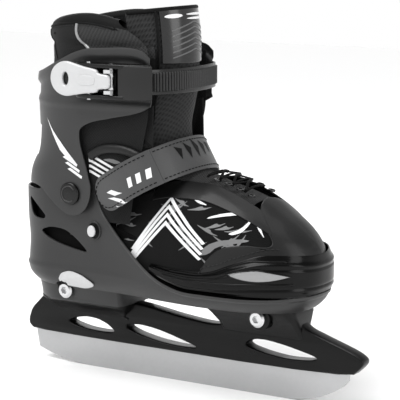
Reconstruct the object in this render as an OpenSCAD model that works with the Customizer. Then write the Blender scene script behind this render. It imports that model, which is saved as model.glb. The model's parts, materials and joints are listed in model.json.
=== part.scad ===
/* [Boot] */
// Half width of the shell at the heel and ankle
heel_half_w = 36; // [33:1:38]
// Half width of the shell at the ball of the foot
ball_half_w = 45; // [42:1:48]
// Rearmost point of the heel cup
heel_x = -134; // [-136:1:-130]
// Foremost point of the tray
toe_x = 107; // [104:1:110]
// Wall thickness of the moulded shells
shell_t = 3; // [2.5:0.5:3.5]
// Height of the shell's underside above the ice
shell_z = 66; // [64:1:67]

/* [Cuff] */
// Height of the ankle pivot above the ice
pivot_z = 137; // [135:1:139]
// Distance of the ankle pivot behind the middle of the skate
pivot_x = -77; // [-79:1:-75]
// Half width of the cuff
cuff_half_w = 42; // [41:1:43]
// Height of the cuff's top edge
cuff_top_z = 241; // [236:1:244]
// Height of the lining's top edge
collar_top_z = 265; // [258:1:268]

/* [Chassis] */
// Thickness of the blade
blade_t = 3.6; // [3:0.2:4]
// Height of the steel that shows below the holder
blade_h = 22; // [20:1:24]
// Thickness of the holder's web
web_t = 11; // [9:1:13]
// Radius of the two cross bolts
bolt_r = 4; // [3:0.5:4]

/* [Buckle] */
// Width of the ladder strap
ladder_w = 17.6; // [16:0.4:19]
// Pitch of the ladder's teeth
tooth_pitch = 2.5; // [2:0.5:3]
// Height of the middle of the buckle above the ice
buckle_z = 220; // [217:1:222]

/* [Hidden] */
$fn = 48;
e = 0.01;
floor_z = shell_z + 3.5;
rim_z = 77;
mid_x = (heel_x + toe_x) / 2;
half_l = (toe_x - heel_x) / 2;
strap_y = -46;
lever_pin_x = -31;
pawl_pin_x = -50;
pin_y = -51.5;
heel_bolt_x = -90;
heel_bolt_z = 62.5;
toe_bolt_x = 68;
toe_bolt_z = 59;
button_x = -58;
button_z = 111;
rand_gap = 0.8;
rand_lean = 2.2;

// ---- helpers -------------------------------------------------------------
function lerp(a, b, t) = a + (b - a) * t;
function ramp(a, b, x) = let (t = max(0, min(1, (x - a) / (b - a)))) t * t * (3 - 2 * t);
// Roundness of an end: 1 on the straight, falling to 0 over the length r
function round_end(d, r, n) = d >= r ? 1 : pow(max(0, 1 - pow((r - d) / r, n)), 1 / n);
// Half width of the foot plan at x, kept in by d
function foot_half(x, d = 0) = let (
        w = lerp(heel_half_w, ball_half_w, ramp(-55, 35, x)),
        back = round_end(x - heel_x - d, 38, 2.2),
        front = round_end(toe_x - d - x, 62, 2.3))
    max(0, (w - d) * back * front);
// Stations along the foot, packed closer at the two round ends
function station(k, n, d) = mid_x - (half_l - d) * cos(180 * k / n);
// Closed plan of the foot: lateral side from heel to toe, medial side back
function foot_plan(d, n = 28) = concat(
    [for (k = [0:n]) let (x = station(k, n, d)) [x, -foot_half(x, d)]],
    [for (k = [n - 1:-1:1]) let (x = station(k, n, d)) [x, foot_half(x, d)]]);
// Presses the part of the plan ahead of x = a into the short length from a to b
function squeeze(x, a, b) = x < a ? x : lerp(a, b, (x - a) / (toe_x - a));
// Plan of the cuff, open at the front: lateral front, round the back, medial front
function cuff_half(x, z, d) = let (
        back_x = lerp(-130, -125, ramp(150, 200, z)),
        w = lerp(40, cuff_half_w, ramp(150, 200, z)),
        round_r = lerp(38, 56, ramp(150, 200, z)))
    (w - d) * round_end(x - back_x - d, round_r, 2.3) * (1 - 0.05 * ramp(-30, -4, x));
function cuff_back(z, d) = lerp(-130, -125, ramp(150, 200, z)) + d;
function cuff_plan(z, d, n = 18) = concat(
    [for (k = [0:n]) let (x = lerp(-6, cuff_back(z, d), sin(90 * k / n)))
        [x, -cuff_half(x, z, d), z]],
    [for (k = [n - 1:-1:0]) let (x = lerp(-6, cuff_back(z, d), sin(90 * k / n)))
        [x, cuff_half(x, z, d), z]]);

function flat(grid) = [for (row = grid) each row];
function quad(a, b, c, d) = [[a, b, c], [a, c, d]];
// Triangles of one grid of m rows by n points, wrapped round if closed
function grid_faces(m, n, closed, base) = [for (j = [0:m - 2]) for (i = [0:n - (closed ? 1 : 2)])
    each quad(base + j * n + i, base + j * n + (i + 1) % n,
        base + (j + 1) * n + (i + 1) % n, base + (j + 1) * n + i)];
function flip(faces) = [for (f = faces) [f[2], f[1], f[0]]];

// Solid through a stack of closed rings, flat at both ends
module loft(rings) {
    n = len(rings[0]);
    m = len(rings);
    polyhedron(flat(rings), concat(
        flip(grid_faces(m, n, true, 0)),
        [[for (i = [0:n - 1]) i]],
        [[for (i = [n - 1:-1:0]) (m - 1) * n + i]]), convexity = 6);
}

// Cup between outer and inner rings, with a floor and an open top
module cup(outer, inner) {
    n = len(outer[0]);
    m = len(outer);
    b = m * n;
    polyhedron(concat(flat(outer), flat(inner)), concat(
        flip(grid_faces(m, n, true, 0)),
        grid_faces(m, n, true, b),
        [[for (i = [0:n - 1]) i]],
        [[for (i = [n - 1:-1:0]) b + i]],
        [for (i = [0:n - 1]) let (o = (m - 1) * n, k = (i + 1) % n)
            each [[b + o + i, b + o + k, o + k], [b + o + i, o + k, o + i]]]), convexity = 8);
}

// Sheet between two open grids, stitched along its four edges
module sheet(outer, inner) {
    n = len(outer[0]);
    m = len(outer);
    b = m * n;
    polyhedron(concat(flat(outer), flat(inner)), concat(
        flip(grid_faces(m, n, false, 0)),
        grid_faces(m, n, false, b),
        [for (i = [0:n - 2]) each quad(i, i + 1, b + i + 1, b + i)],
        [for (i = [0:n - 2]) let (o = (m - 1) * n)
            each quad(b + o + i, b + o + i + 1, o + i + 1, o + i)],
        [for (j = [0:m - 2]) each quad(b + j * n, b + (j + 1) * n, (j + 1) * n, j * n)],
        [for (j = [0:m - 2]) let (i = n - 1)
            each quad(j * n + i, (j + 1) * n + i, b + (j + 1) * n + i, b + j * n + i)]),
        convexity = 8);
}

// Cylinder along Y from y0 to y1
module rod(x, z, r, y0, y1) {
    translate([x, y0, z]) rotate([-90, 0, 0]) cylinder(r = r, h = y1 - y0);
}

// Side outline [x, z] drawn out along Y from y0 to y1
module side_prism(points, y0, y1) {
    translate([0, y1, 0]) rotate([90, 0, 0]) linear_extrude(y1 - y0) polygon(points);
}

// Button-head bolt along Y whose head rests at y, pointing inwards
module hex_bolt(x, z, y, side, head_r, length) {
    translate([x, y, z]) rotate([90 * side, 0, 0]) difference() {
        union() {
            cylinder(r = head_r, h = 2.6);
            translate([0, 0, 2.6]) cylinder(r1 = head_r, r2 = head_r - 1.4, h = 1.4, $fn = 48);
            translate([0, 0, -length]) cylinder(r = bolt_r - 0.05, h = length + e);
        }
        translate([0, 0, 1.6]) cylinder(r = 2.9, h = 4, $fn = 6);
    }
}

// ---- moulded lower shell ---------------------------------------------------
// Height of the lower shell's rim at x
function rim_at(x) = lookup(x, [[-140, 137], [-108, 137], [-100, 137.5], [-94, 146], [-60, 146], [-52, 129],
    [-40, 113], [-24, 98], [-4, 84], [16, 77.5], [24, rim_z], [120, rim_z]]);
function shell_row(t, d, lift) = [for (p = foot_plan(d)) let (
        z = lerp(shell_z + lift, rim_at(p.x), t),
        tuck = 1 - 0.16 * pow(1 - min(1, (z - shell_z) / 9), 2))
    [lerp(mid_x, p.x, lerp(1, tuck, 0.35)), p.y * tuck, z]];

module heel_block() {
    intersection() {
        translate([-125, -26, 54]) cube([80, 52, floor_z - 54 - 0.5]);
        union() {
            translate([-99, 0, 54]) cylinder(r = 26, h = 20);
            translate([-99, -26, 54]) cube([54, 52, 20]);
        }
    }
}

module lower_shell() {
    levels = [0, 0.06, 0.16, 0.34, 0.6, 1];
    color("#484848") difference() {
        union() {
            cup([for (t = levels) shell_row(t, 0, 0)],
                [for (t = levels) shell_row(t, shell_t, 3.5)]);
            heel_block();
            translate([54, -8, 52]) cube([28, 16, floor_z - 52 - 1]);
        }
        // slot for the holder's heel fin
        translate([-104.5, -7.3, 50]) cube([29, 14.6, 18]);
        rod(heel_bolt_x, heel_bolt_z, bolt_r, -60, 60);
        rod(heel_bolt_x, heel_bolt_z, 7.5, -60, -26);
        rod(heel_bolt_x, heel_bolt_z, 7.5, 26, 60);
        rod(toe_bolt_x, toe_bolt_z, bolt_r, -60, 60);
        rod(pivot_x, pivot_z, 5, -60, 60);
        // oval port of the size button, lateral side only
        rod(button_x, button_z, 5.2, -60, 0);
        // leaf-shaped vents
        side_prism([[-106, 106], [-96, 110], [-84, 109], [-74, 103], [-64, 94], [-78, 96],
            [-92, 99], [-101, 103]], -60, 60);
        // recesses of the two badges
        side_prism(badge_outline(1.02), -60, -34.1);
        side_prism(badge_outline(1.02), 34.1, 60);
        // three-cornered vents under the cuff's rear edge
        side_prism([[-118, 131], [-101, 118], [-104, 115], [-116, 116]], -60, 60);
    }
}

module footbed() {
    color("#8a8a86") loft([for (s = [[6.5, floor_z + 3.6], [5.5, floor_z + 5], [5.5, floor_z + 8.5]])
        [for (p = foot_plan(s[0])) [squeeze(p.x, 50, 76), p.y * 0.86, s[1]]]]);
}

// Soft foot part of the lining, inside the heel cup
module liner_boot() {
    top = function (x) lookup(x, [[-140, 134], [-112, 134], [-98, 103], [60, 101]]);
    row = function (d, t, z0) [for (p = foot_plan(d)) let (x = squeeze(p.x, -80, -47 - d))
        [x, sign(p.y) * min(abs(p.y), foot_half(x, d + 0.3)), lerp(z0, top(x), t)]];
    color("#2b2b2b") cup([for (t = [0.1, 0.4, 1]) row(3.9, t, 77)], [for (t = [0.1, 0.4, 1]) row(10, t, 82)]);
}

// Outline of a heel badge, scaled by k about its middle
function badge_outline(k) = [for (p = [[-78, 66], [-72, 75], [-62, 76], [-48, 70], [-60, 66.6], [-70, 65.4]])
    [lerp(-63, p.x, k), lerp(70.5, p.y, k)]];

module badge(side) {
    color("#c9c9c9") mirror([0, side > 0 ? 1 : 0, 0]) side_prism(badge_outline(1), -37.6, -34.2);
}

module badge_lateral() { badge(-1); }
module badge_medial() { badge(1); }

// ---- chassis -----------------------------------------------------------------
module blade_holder() {
    outline = [[-136, blade_h], [-142, 26], [-142, 31], [-139, 39], [-131, 47], [-125, 54],
        [-45, 54], [-34, 53], [-7, 49], [20, 47], [30, 48], [26, 54], [15, shell_z], [94, shell_z],
        [93, 57], [98, 52], [110, 48], [135, 40], [141.6, 36], [141.6, 32], [131, blade_h]];
    heel_slot = [[-105, 33], [-97, 36.5], [-88, 38], [-78, 37.5], [-69, 34.5], [-62, 29.5],
        [-74, 28.5], [-88, 29], [-99, 31]];
    mid_slot = [[-52, 37], [-40, 38], [-26, 36.5], [-12, 33.5], [12, 27], [-8, 26.6],
        [-26, 28], [-42, 31], [-51, 34]];
    toe_slot = [[49, 36], [56, 40], [66, 40.5], [82, 38.5], [108, 33], [100, 30.4],
        [82, 29.4], [66, 31], [53, 33.6]];
    color("#2e2e2e") difference() {
        union() {
            side_prism(outline, -web_t / 2, web_t / 2);
            // spreading foot under the heel block
            hull() {
                translate([-99, 0, 53]) cylinder(r = 25, h = 1, $fn = 32);
                translate([-60, -24, 53]) cube([14, 48, 1]);
                translate([-112, -web_t / 2, 41]) cube([62, web_t, 1]);
            }
            // spreading foot under the tray
            hull() {
                translate([17, -19, shell_z - 2]) cube([75, 38, 2]);
                translate([30, -web_t / 2, 44]) cube([66, web_t, 1]);
            }
            translate([-104, -7, 50]) cube([28, 14, 17.6]);
            rod(toe_bolt_x, toe_bolt_z, 6.9, -19, 19);
            translate([toe_bolt_x - 8.5, -19, toe_bolt_z]) cube([17, 38, shell_z - toe_bolt_z]);
        }
        side_prism(heel_slot, -20, 20);
        side_prism(mid_slot, -20, 20);
        side_prism(toe_slot, -20, 20);
        // pocket for the tray's lug
        translate([53.7, -8.3, 51.7]) cube([28.6, 16.6, 20]);
        // slot for the blade
        translate([-150, -blade_t / 2 - 0.05, 0]) cube([300, blade_t + 0.1, 25.6]);
        for (x = [-114, -56, 30, 114])
            translate([x - 8.1, -blade_t / 2 - 0.05, 20]) cube([16.2, blade_t + 0.1, 14.1]);
        for (x = [-114, -56, 30, 114]) rod(x, 30, 2, -10, 10);
        rod(heel_bolt_x, heel_bolt_z, bolt_r, -30, 30);
        rod(toe_bolt_x, toe_bolt_z, bolt_r, -30, 30);
    }
}

module blade() {
    toe_r = 76;
    heel_r = 145;
    toe_arc = [for (a = [0:4:36]) [80 + toe_r * sin(a), toe_r * (1 - cos(a))]];
    heel_arc = [for (a = [20:-4:0]) [-85 - heel_r * sin(a), heel_r * (1 - cos(a))]];
    color("#a8a8a8") difference() {
        union() {
            side_prism(concat(heel_arc, toe_arc, [[128.6, 19], [129, blade_h], [129, 25.5],
                [-136, 25.5], [-137, blade_h]]), -blade_t / 2, blade_t / 2);
            for (x = [-114, -56, 30, 114])
                translate([x - 8, -blade_t / 2, 24]) cube([16, blade_t, 10]);
        }
        for (x = [-114, -56, 30, 114]) rod(x, 30, 2, -10, 10);
    }
}

module blade_pins() {
    color("#8c8c8c") for (x = [-114, -56, 30, 114]) rod(x, 30, 1.95, -web_t / 2 + 0.3, web_t / 2 - 0.3);
}

module heel_bolt() { color("#b5b5b5") hex_bolt(heel_bolt_x, heel_bolt_z, -26, 1, 6, 40); }
module toe_bolt() { color("#b5b5b5") hex_bolt(toe_bolt_x, toe_bolt_z, -19, 1, 6, 28); }

module barrel_nut(x, z, y) {
    color("#9a9a9a") difference() {
        rod(x, z, 6, y, y + 3.4);
        rod(x, z, 2.5, y + 1, y + 10);
    }
}
module heel_nut() { barrel_nut(heel_bolt_x, heel_bolt_z, 26); }
module toe_nut() { barrel_nut(toe_bolt_x, toe_bolt_z, 19); }

// ---- cuff --------------------------------------------------------------------
function cuff_levels() = [118, 134, 150, 166, 184, 202, 222, 234, cuff_top_z + 3];

module cuff() {
    side = [[5, 236], [-4, 236], [-9, cuff_top_z], [-50, cuff_top_z + 1], [-66, 239], [-84, 231], [-104, 223],
        [-140, 218], [-140, 141], [-104, 141], [-92, 132], [-83, 125], [-76, 121.5], [-69, 121.5],
        [-63, 126], [-59, 133], [-57.6, 142], [-60, 152], [-64, 168], [-66, 180], [-61, 187],
        [-40, 193], [-14, 199], [-4, 204], [5, 204]];
    color("#4c4c4c") difference() {
        intersection() {
            sheet([for (z = cuff_levels()) cuff_plan(z, 0)],
                [for (z = cuff_levels()) cuff_plan(z, shell_t)]);
            side_prism(side, -60, 60);
        }
        rod(pivot_x, pivot_z, 5.06, -60, 60);
        // open heel window
        translate([-140, -17, 158]) cube([30, 34, 24]);
        for (x = [-56, -18]) rod(x, buckle_z, 1.6, -60, 0);
        rod(-32, buckle_z, 2.1, 0, 60);
    }
}

// Rivet that carries the cuff; the shank runs in the shell and the cuff
module pivot_rivet(side) {
    color("#3c3c3c") mirror([0, side > 0 ? 1 : 0, 0]) {
        rod(pivot_x, pivot_z, 11, -43.6, -40.4);
        rod(pivot_x, pivot_z, 4.98, -40.5, -32);
        rod(pivot_x, pivot_z, 8, -32.6, -31.2);
    }
}
module pivot_rivet_lateral() { pivot_rivet(-1); }
module pivot_rivet_medial() { pivot_rivet(1); }

// Padded collar inside the cuff
function collar_ring(z, d) = let (
        back = lerp(-126, -117, ramp(160, 235, z)) + 3.6 + d,
        front = lerp(-14, -16, ramp(180, 240, z)),
        w = lerp(36, 37, ramp(150, 200, z)) - d)
    concat([for (k = [0:10]) let (x = lerp(front, back, sin(90 * k / 10)))
            [x, -w * round_end(x - back, 50, 2.2), z]],
        [for (k = [9:-1:0]) let (x = lerp(front, back, sin(90 * k / 10)))
            [x, w * round_end(x - back, 50, 2.2), z]]);
module liner_collar() {
    levels = [140, 165, 190, 215, 240, 256, collar_top_z];
    tilt = function (g) [for (r = g) [for (p = r)
        [p.x, p.y, min(p.z, collar_top_z - 9 * ramp(-20, -100, -p.x - 120))]]];
    color("#262626") difference() {
        sheet([for (z = levels) collar_ring(z, z > 245 ? 1.5 : 0)],
            [for (z = levels) collar_ring(z, z > 245 ? 7 : 9)]);
        // clear of the foot part of the lining as the cuff flexes
        rod(pivot_x, pivot_z, 46, -60, 60);
        side_prism([[-60, 130], [-30, 178], [-24, 190], [0, 200], [0, 120]], -60, 60);
        translate([-140, -60, 130]) cube([60, 120, 15]);
    }
}

module tongue() {
    row = function (d) [for (s = [[198, 2], [214, 3.6], [232, 3], [250, 0], [262, -4], [269, -10]])
        [for (a = [-70:14:70]) let (r = 30 - d)
            [s[1] - 26 + (r - 4) * cos(a), (r + 1) * sin(a), s[0]]]];
    color("#333333") sheet(row(0), row(7));
}

module tongue_label() {
    row = function (d) [for (s = [[236, 2.5], [250, 0], [262, -4]])
        [for (a = [-44:11:22]) let (r = 30.4 + d)
            [s[1] - 26 + (r - 4) * cos(a), (r + 1) * sin(a), s[0]]]];
    color("#5a5a5a") sheet(row(1), row(0));
}

// ---- ratchet buckle ------------------------------------------------------------
// The strap's line in plan: straight along the outside, round the front, straight back
front_x = 7;
lat_turn = -12;
med_turn = -9;
med_y = 43.9;
function strap_line(d) = concat(
    [for (x = [-58:tooth_pitch:lat_turn - 1]) [x, strap_y - d]],
    [for (a = [-90:4.5:0]) [lat_turn + (front_x - lat_turn + d) * cos(a), (-strap_y + d) * sin(a)]],
    [for (a = [4.5:4.5:90]) [med_turn + (front_x - med_turn + d) * cos(a), (med_y + d) * sin(a)]],
    [for (x = [med_turn - 4:-4:-50]) [x, med_y + d]]);

module ladder_strap() {
    inner = strap_line(-1.1);
    outer = strap_line(0.5);
    color("#6e6e6e") difference() {
        union() {
            translate([0, 0, buckle_z - ladder_w / 2]) linear_extrude(ladder_w)
                polygon(concat(outer, [for (i = [len(inner) - 1:-1:0]) inner[i]]));
            // raked teeth on the outside of the straight run
            for (x = [-57:tooth_pitch:-14])
                translate([0, 0, buckle_z - ladder_w / 2 + 2]) linear_extrude(ladder_w - 4)
                    polygon([[x, strap_y - 0.4], [x + tooth_pitch - 0.3, strap_y - 0.4],
                        [x + tooth_pitch - 0.6, strap_y - 1.3]]);
        }
        // slot that slides past the medial screw
        translate([-34.2 - 15, 30, buckle_z - 2.3]) cube([19.8, 30, 4.6]);
    }
}

module ladder_screw() {
    color("#b0b0b0") {
        rod(-32, buckle_z, 5.2, med_y + 2, med_y + 3.6);
        rod(-32, buckle_z, 2.05, 37.4, med_y + 2.1);
        rod(-32, buckle_z, 4.4, 37.4, 38.7);
    }
}

module buckle_base() {
    top = 13.2;
    color("#1e1e1e") difference() {
        union() {
            // plate on the cuff
            translate([-63, -44.3, buckle_z - 10.6]) cube([49, 1.9, 21.2]);
            for (s = [-1, 1]) mirror([0, 0, s < 0 ? 1 : 0]) translate([0, 0, s < 0 ? -2 * buckle_z : 0])
                translate([0, 0, buckle_z + ladder_w / 2 + 0.4]) linear_extrude(2.2)
                    polygon([[-63, -42.4], [-63, -50], [-58, -54], [-26, -54.4], [-14, -52],
                        [-3, -48.8], [-3, -42.4]]);
            // bridge over the strap's mouth
            translate([-12, -50.2, buckle_z - 11]) cube([9, 1.6, 22]);
        }
        for (x = [-56, -18]) rod(x, buckle_z, 1.6, -60, -40);
        for (p = [[lever_pin_x, 1.55], [pawl_pin_x, 1.55]])
            translate([p[0], pin_y, buckle_z - 20]) cylinder(r = p[1], h = 40);
    }
}

module base_rivets() {
    color("#8a8a8a") for (x = [-56, -18]) {
        rod(x, buckle_z, 1.55, -44.4, -37.9);
        rod(x, buckle_z, 3, -37.9, -37.3);
    }
}

module pin_z(x, r, half) {
    translate([x, pin_y, buckle_z - half]) cylinder(r = r, h = 2 * half);
}
module lever_pin() { color("#c4c4c4") pin_z(lever_pin_x, 1.5, 12.4); }
module pawl_pin() { color("#c4c4c4") pin_z(pawl_pin_x, 1.5, 13.2); }

module lever_spring() {
    color("#9c9c9c") for (s = [-1, 1])
        translate([lever_pin_x, pin_y, buckle_z + s * 4.6 - 1]) difference() {
            cylinder(r = 2.3, h = 2);
            translate([0, 0, -1]) cylinder(r = 1.62, h = 4);
        }
}

module lever() {
    // the thumb plate, with its round rear end and its notch
    plate = 13;
    color("#dedede") difference() {
        union() {
            intersection() {
                translate([-82, -57, buckle_z - plate]) cube([54, 2.2, 2 * plate]);
                union() {
                    translate([-66, -50, buckle_z]) rotate([90, 0, 0]) cylinder(r = 15.5, h = 10);
                    translate([-64, -60, buckle_z - 9.6]) cube([24, 10, 19.2]);
                    translate([-41, -60, buckle_z - 8]) cube([13, 10, 16]);
                }
            }
            for (s = [-1, 1]) translate([lever_pin_x, pin_y, buckle_z + s * 7.2 - 1.2]) union() {
                cylinder(r = 3, h = 2.4);
                translate([-3, -5.4, 0]) cube([5.5, 4.4, 2.4]);
            }
        }
        translate([lever_pin_x, pin_y, buckle_z - 20]) cylinder(r = 1.56, h = 40);
        // thumb notch
        translate([-73, -50, buckle_z]) rotate([90, 0, 0]) cylinder(r = 3.4, h = 10);
    }
}

module pawl() {
    color("#b8b8b8") difference() {
        union() {
            translate([pawl_pin_x, pin_y, buckle_z - 5.4]) cylinder(r = 2.7, h = 10.8);
            translate([0, 0, buckle_z - 5.4]) linear_extrude(10.8)
                polygon([[pawl_pin_x, pin_y - 2.2], [pawl_pin_x + 12, pin_y - 0.2], [pawl_pin_x + 14.6, -48.0],
                    [pawl_pin_x + 12.4, -49.4], [pawl_pin_x, pin_y + 2.2]]);
        }
        translate([pawl_pin_x, pin_y, buckle_z - 20]) cylinder(r = 1.56, h = 40);
    }
}

// ---- sliding toe piece -----------------------------------------------------------
// Height of the toe's upper line at x, and its arched section kept in by d
function toe_top(x) = lookup(x, [[-44, 136], [0, 152], [26, 153], [46, 148], [66, 140], [80, 131],
    [90, 124], [98, 117], [104, 108], [110, 92]]);
function arch(x, d, z0, a0, a1, n) = [for (k = [0:n]) let (
        a = lerp(a0, a1, k / n),
        w = foot_half(min(x, toe_x + 1), 0) - 3.6 - d,
        h = toe_top(x) - z0 - d,
        c = cos(a),
        s = sin(a))
    [x, -max(w, 1) * sign(c) * pow(abs(c), 0.72), z0 + max(h, 0.5) * pow(max(0, s), 0.78)]];

module toe_sole() {
    color("#3a3a3a") difference() {
        loft([for (z = [floor_z + 0.3, floor_z + 3.2])
            [for (p = foot_plan(6)) [lerp(-60, 72, (p.x - heel_x) / (toe_x - heel_x)), p.y * 0.86, z]]]);
        // notch grip under the heel end
        translate([-62, -6, 60]) cube([14, 12, 20]);
    }
}

module size_rack() {
    color("#9a9a9a") difference() {
        translate([-82, -32.2, 105]) cube([37.8, 1.8, 12]);
        for (k = [0:4]) rod(button_x - k * 5, button_z, 1.8, -40, -20);
    }
}

module toe_cap() {
    xs = [66, 76, 85, 92, 98, 102.4, 105];
    color("#3f3f3f") sheet([for (x = xs) arch(x, 0, 82, 4, 176, 18)],
        [for (x = xs) arch(x, 2.6, 82, 6, 174, 18)]);
}

function rand_line(d, z, n = 26) = let (x0 = -8) concat(
    [for (k = [0:n]) let (x = lerp(x0, toe_x + 3 - d, sin(90 * k / n)))
        [x, -rand_half(x, d), z]],
    [for (k = [n - 1:-1:0]) let (x = lerp(x0, toe_x + 3 - d, sin(90 * k / n)))
        [x, rand_half(x, d), z]]);
function rand_half(x, d) = max(0, (foot_half(min(x - 3, toe_x - 62), 0) + 0.6 - d)
    * round_end(toe_x + 3 - d - x, 64, 2.35));
function rand_low(x) = max(rim_z + rand_gap, rim_at(x) + 1);
function rand_top(x) = lookup(x, [[-8, 92], [34, 92], [48, 95], [64, 101], [84, 106], [112, 103]]);

module toe_rand() {
    row = function (t, d) [for (p = rand_line(d + rand_lean * pow(t, 2), 0))
        [p.x, p.y, lerp(rand_low(p.x), rand_top(p.x), t)]];
    color("#2c2c2c") sheet([for (t = [0, 0.35, 0.7, 1]) row(t, 0)], [for (t = [0, 0.35, 0.7, 1]) row(t, 2.4)]);
}

module rand_insert(side) {
    row = function (d) [for (s = [[0, 0.2], [0.5, 1], [1, 0.2]]) [for (k = [0:8]) let (
            x = lerp(60, 96, k / 8),
            h = 5 * sin(180 * (k + 0.4) / 8.8) * s[1],
            z = 92 + lerp(-1, 1, s[0]) * h)
        [x, side * (rand_half(x, 0) + 0.2 + d), z]]];
    color("#bdbdbd") if (side < 0) sheet(row(1), row(0));
    else sheet(row(0), row(1));
}
module rand_insert_lateral() { rand_insert(-1); }
module rand_insert_medial() { rand_insert(1); }

// Fabric side panel of the sliding toe piece
module vamp(side) {
    xs = [-44, -20, 0, 20, 40, 54, 65.6];
    a0 = side < 0 ? 4 : 120;
    a1 = side < 0 ? 60 : 176;
    color("#303030") sheet([for (x = xs) arch(x, 0, rim_z + 6, a0, a1, 8)],
        [for (x = xs) arch(x, 2.2, rim_z + 6, a0, a1, 8)]);
}
module vamp_lateral() { vamp(-1); }
module vamp_medial() { vamp(1); }

module eyestay(side) {
    xs = [24, 40, 54, 65.6];
    a0 = side < 0 ? 61 : 104;
    a1 = side < 0 ? 76 : 119;
    color("#222222") sheet([for (x = xs) arch(x, -1, rim_z + 6, a0, a1, 3)],
        [for (x = xs) arch(x, 2.2, rim_z + 6, a0, a1, 3)]);
}
module eyestay_lateral() { eyestay(-1); }
module eyestay_medial() { eyestay(1); }

lace_x = [32, 41, 50, 59];
lace_y = 14;
module eyelets() {
    color("#8f8f8f") for (x = lace_x, s = [-1, 1])
        translate([x, s * lace_y, toe_top(x) + 0.1]) rotate([0, 14, 0]) difference() {
            cylinder(r = 2.6, h = 1, $fn = 24);
            translate([0, 0, -1]) cylinder(r = 1.5, h = 3, $fn = 24);
        }
}

// Laces, held along their whole route across the throat
module laces() {
    color("#2a2a2a") for (x = lace_x)
        translate([x, -lace_y + 1, toe_top(x) + 2.7]) rotate([-90, 0, 0]) cylinder(r = 1.3, h = 2 * lace_y - 2, $fn = 16);
}

// ---- instep strap ------------------------------------------------------------------
// The strap is a band round the front of the ankle, in a plane tilted back by strap_tilt.
// Here u runs forwards and up in that plane, and w is the height along the tilted axis.
strap_tilt = 30;
strap_w = 26;
strap_low_w = 129;
function strap_plan(d) = concat(
    [[24, -40.6 - d], [32, -42.2 - d], [40, -44 - d], [48, -45.4 - d]],
    [for (a = [-90:7.5:90]) [55 + (34 + d) * cos(a), (46 + d) * sin(a)]],
    [[48, 45.4 + d], [40, 44 + d], [32, 42.8 + d]]);
// The part of the band between the stations first and last
module strap_run(first, last) {
    outer = [for (i = [first:last]) strap_plan(1.2)[i]];
    inner = [for (i = [last:-1:first]) strap_plan(-1.2)[i]];
    rotate([0, -strap_tilt, 0]) translate([0, 0, strap_low_w]) linear_extrude(strap_w)
        polygon(concat(outer, inner));
}
strap_split = 11;
// Rolled fold between the strap and its free end, on the outer face
module strap_fold(r) {
    rotate([0, -strap_tilt, 0]) translate(concat(strap_plan(1.2)[strap_split], strap_low_w + 1))
        cylinder(r = r, h = strap_w - 2);
}
module instep_strap() {
    color("#6a6a6a") difference() {
        strap_run(strap_split, len(strap_plan(0)) - 1);
        strap_fold(0.88);
    }
}
module strap_end() {
    color("#6a6a6a") {
        difference() {
            intersection() {
                strap_run(0, strap_split);
                // rounded free end
                rotate([0, -strap_tilt, 0]) hull() {
                    translate([37, 0, strap_low_w + strap_w / 2]) rotate([90, 0, 0])
                        cylinder(r = strap_w / 2 + 0.5, h = 120, center = true, $fn = 32);
                    translate([100, 0, strap_low_w + strap_w / 2]) cube([20, 120, strap_w + 2], center = true);
                }
            }
            // the seam where the free end leaves the fixed part
            rotate([0, -strap_tilt, 0]) translate([strap_plan(0)[strap_split].x - 0.4, -60, strap_low_w - 1])
                cube([10, 60, strap_w + 2]);
        }
        strap_fold(0.8);
    }
}
module strap_anchor() {
    color("#9a9a9a") rotate([0, -strap_tilt, 0])
        rod(36, strap_low_w + strap_w / 2, 4, 45.3, 46.7);
}

// ---- size latch ----------------------------------------------------------------------
module size_button() {
    color("#c0c0c0") {
        rod(button_x, button_z, 4.2, -40.4, -37.6);
        rod(button_x, button_z, 5.0, -37.8, -37);
        rod(button_x, button_z, 1.6, -37.2, -33.2);
    }
}
module button_housing() {
    color("#333333") difference() {
        rod(button_x, button_z, 5.15, -34.1, -32.9);
        rod(button_x, button_z, 1.7, -40, -30);
    }
}
module button_spring() {
    color("#999999") difference() {
        rod(button_x, button_z, 3.4, -34.8, -34.15);
        rod(button_x, button_z, 2.4, -40, -30);
    }
}

lower_shell();
blade_holder();
blade();
blade_pins();
heel_bolt();
heel_nut();
toe_bolt();
toe_nut();
pivot_rivet_lateral();
pivot_rivet_medial();
badge_lateral();
badge_medial();
footbed();
liner_boot();
button_housing();
button_spring();
size_button();
cuff();
liner_collar();
tongue();
tongue_label();
buckle_base();
base_rivets();
lever_pin();
pawl_pin();
lever_spring();
lever();
pawl();
ladder_strap();
ladder_screw();
toe_sole();
size_rack();
toe_cap();
toe_rand();
rand_insert_lateral();
rand_insert_medial();
vamp_lateral();
vamp_medial();
eyestay_lateral();
eyestay_medial();
eyelets();
laces();
instep_strap();
strap_end();
strap_anchor();
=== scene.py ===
"""Looks of the ice skate. All lengths in the code are millimetres in the part's own frame:
+X to the toe, +Y to the inner side, +Z up; they become metres when a mesh is made."""
import json
import math
from contextlib import contextmanager

import bmesh
import bpy
import numpy as np
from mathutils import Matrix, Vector
from mathutils.bvhtree import BVHTree

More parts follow.
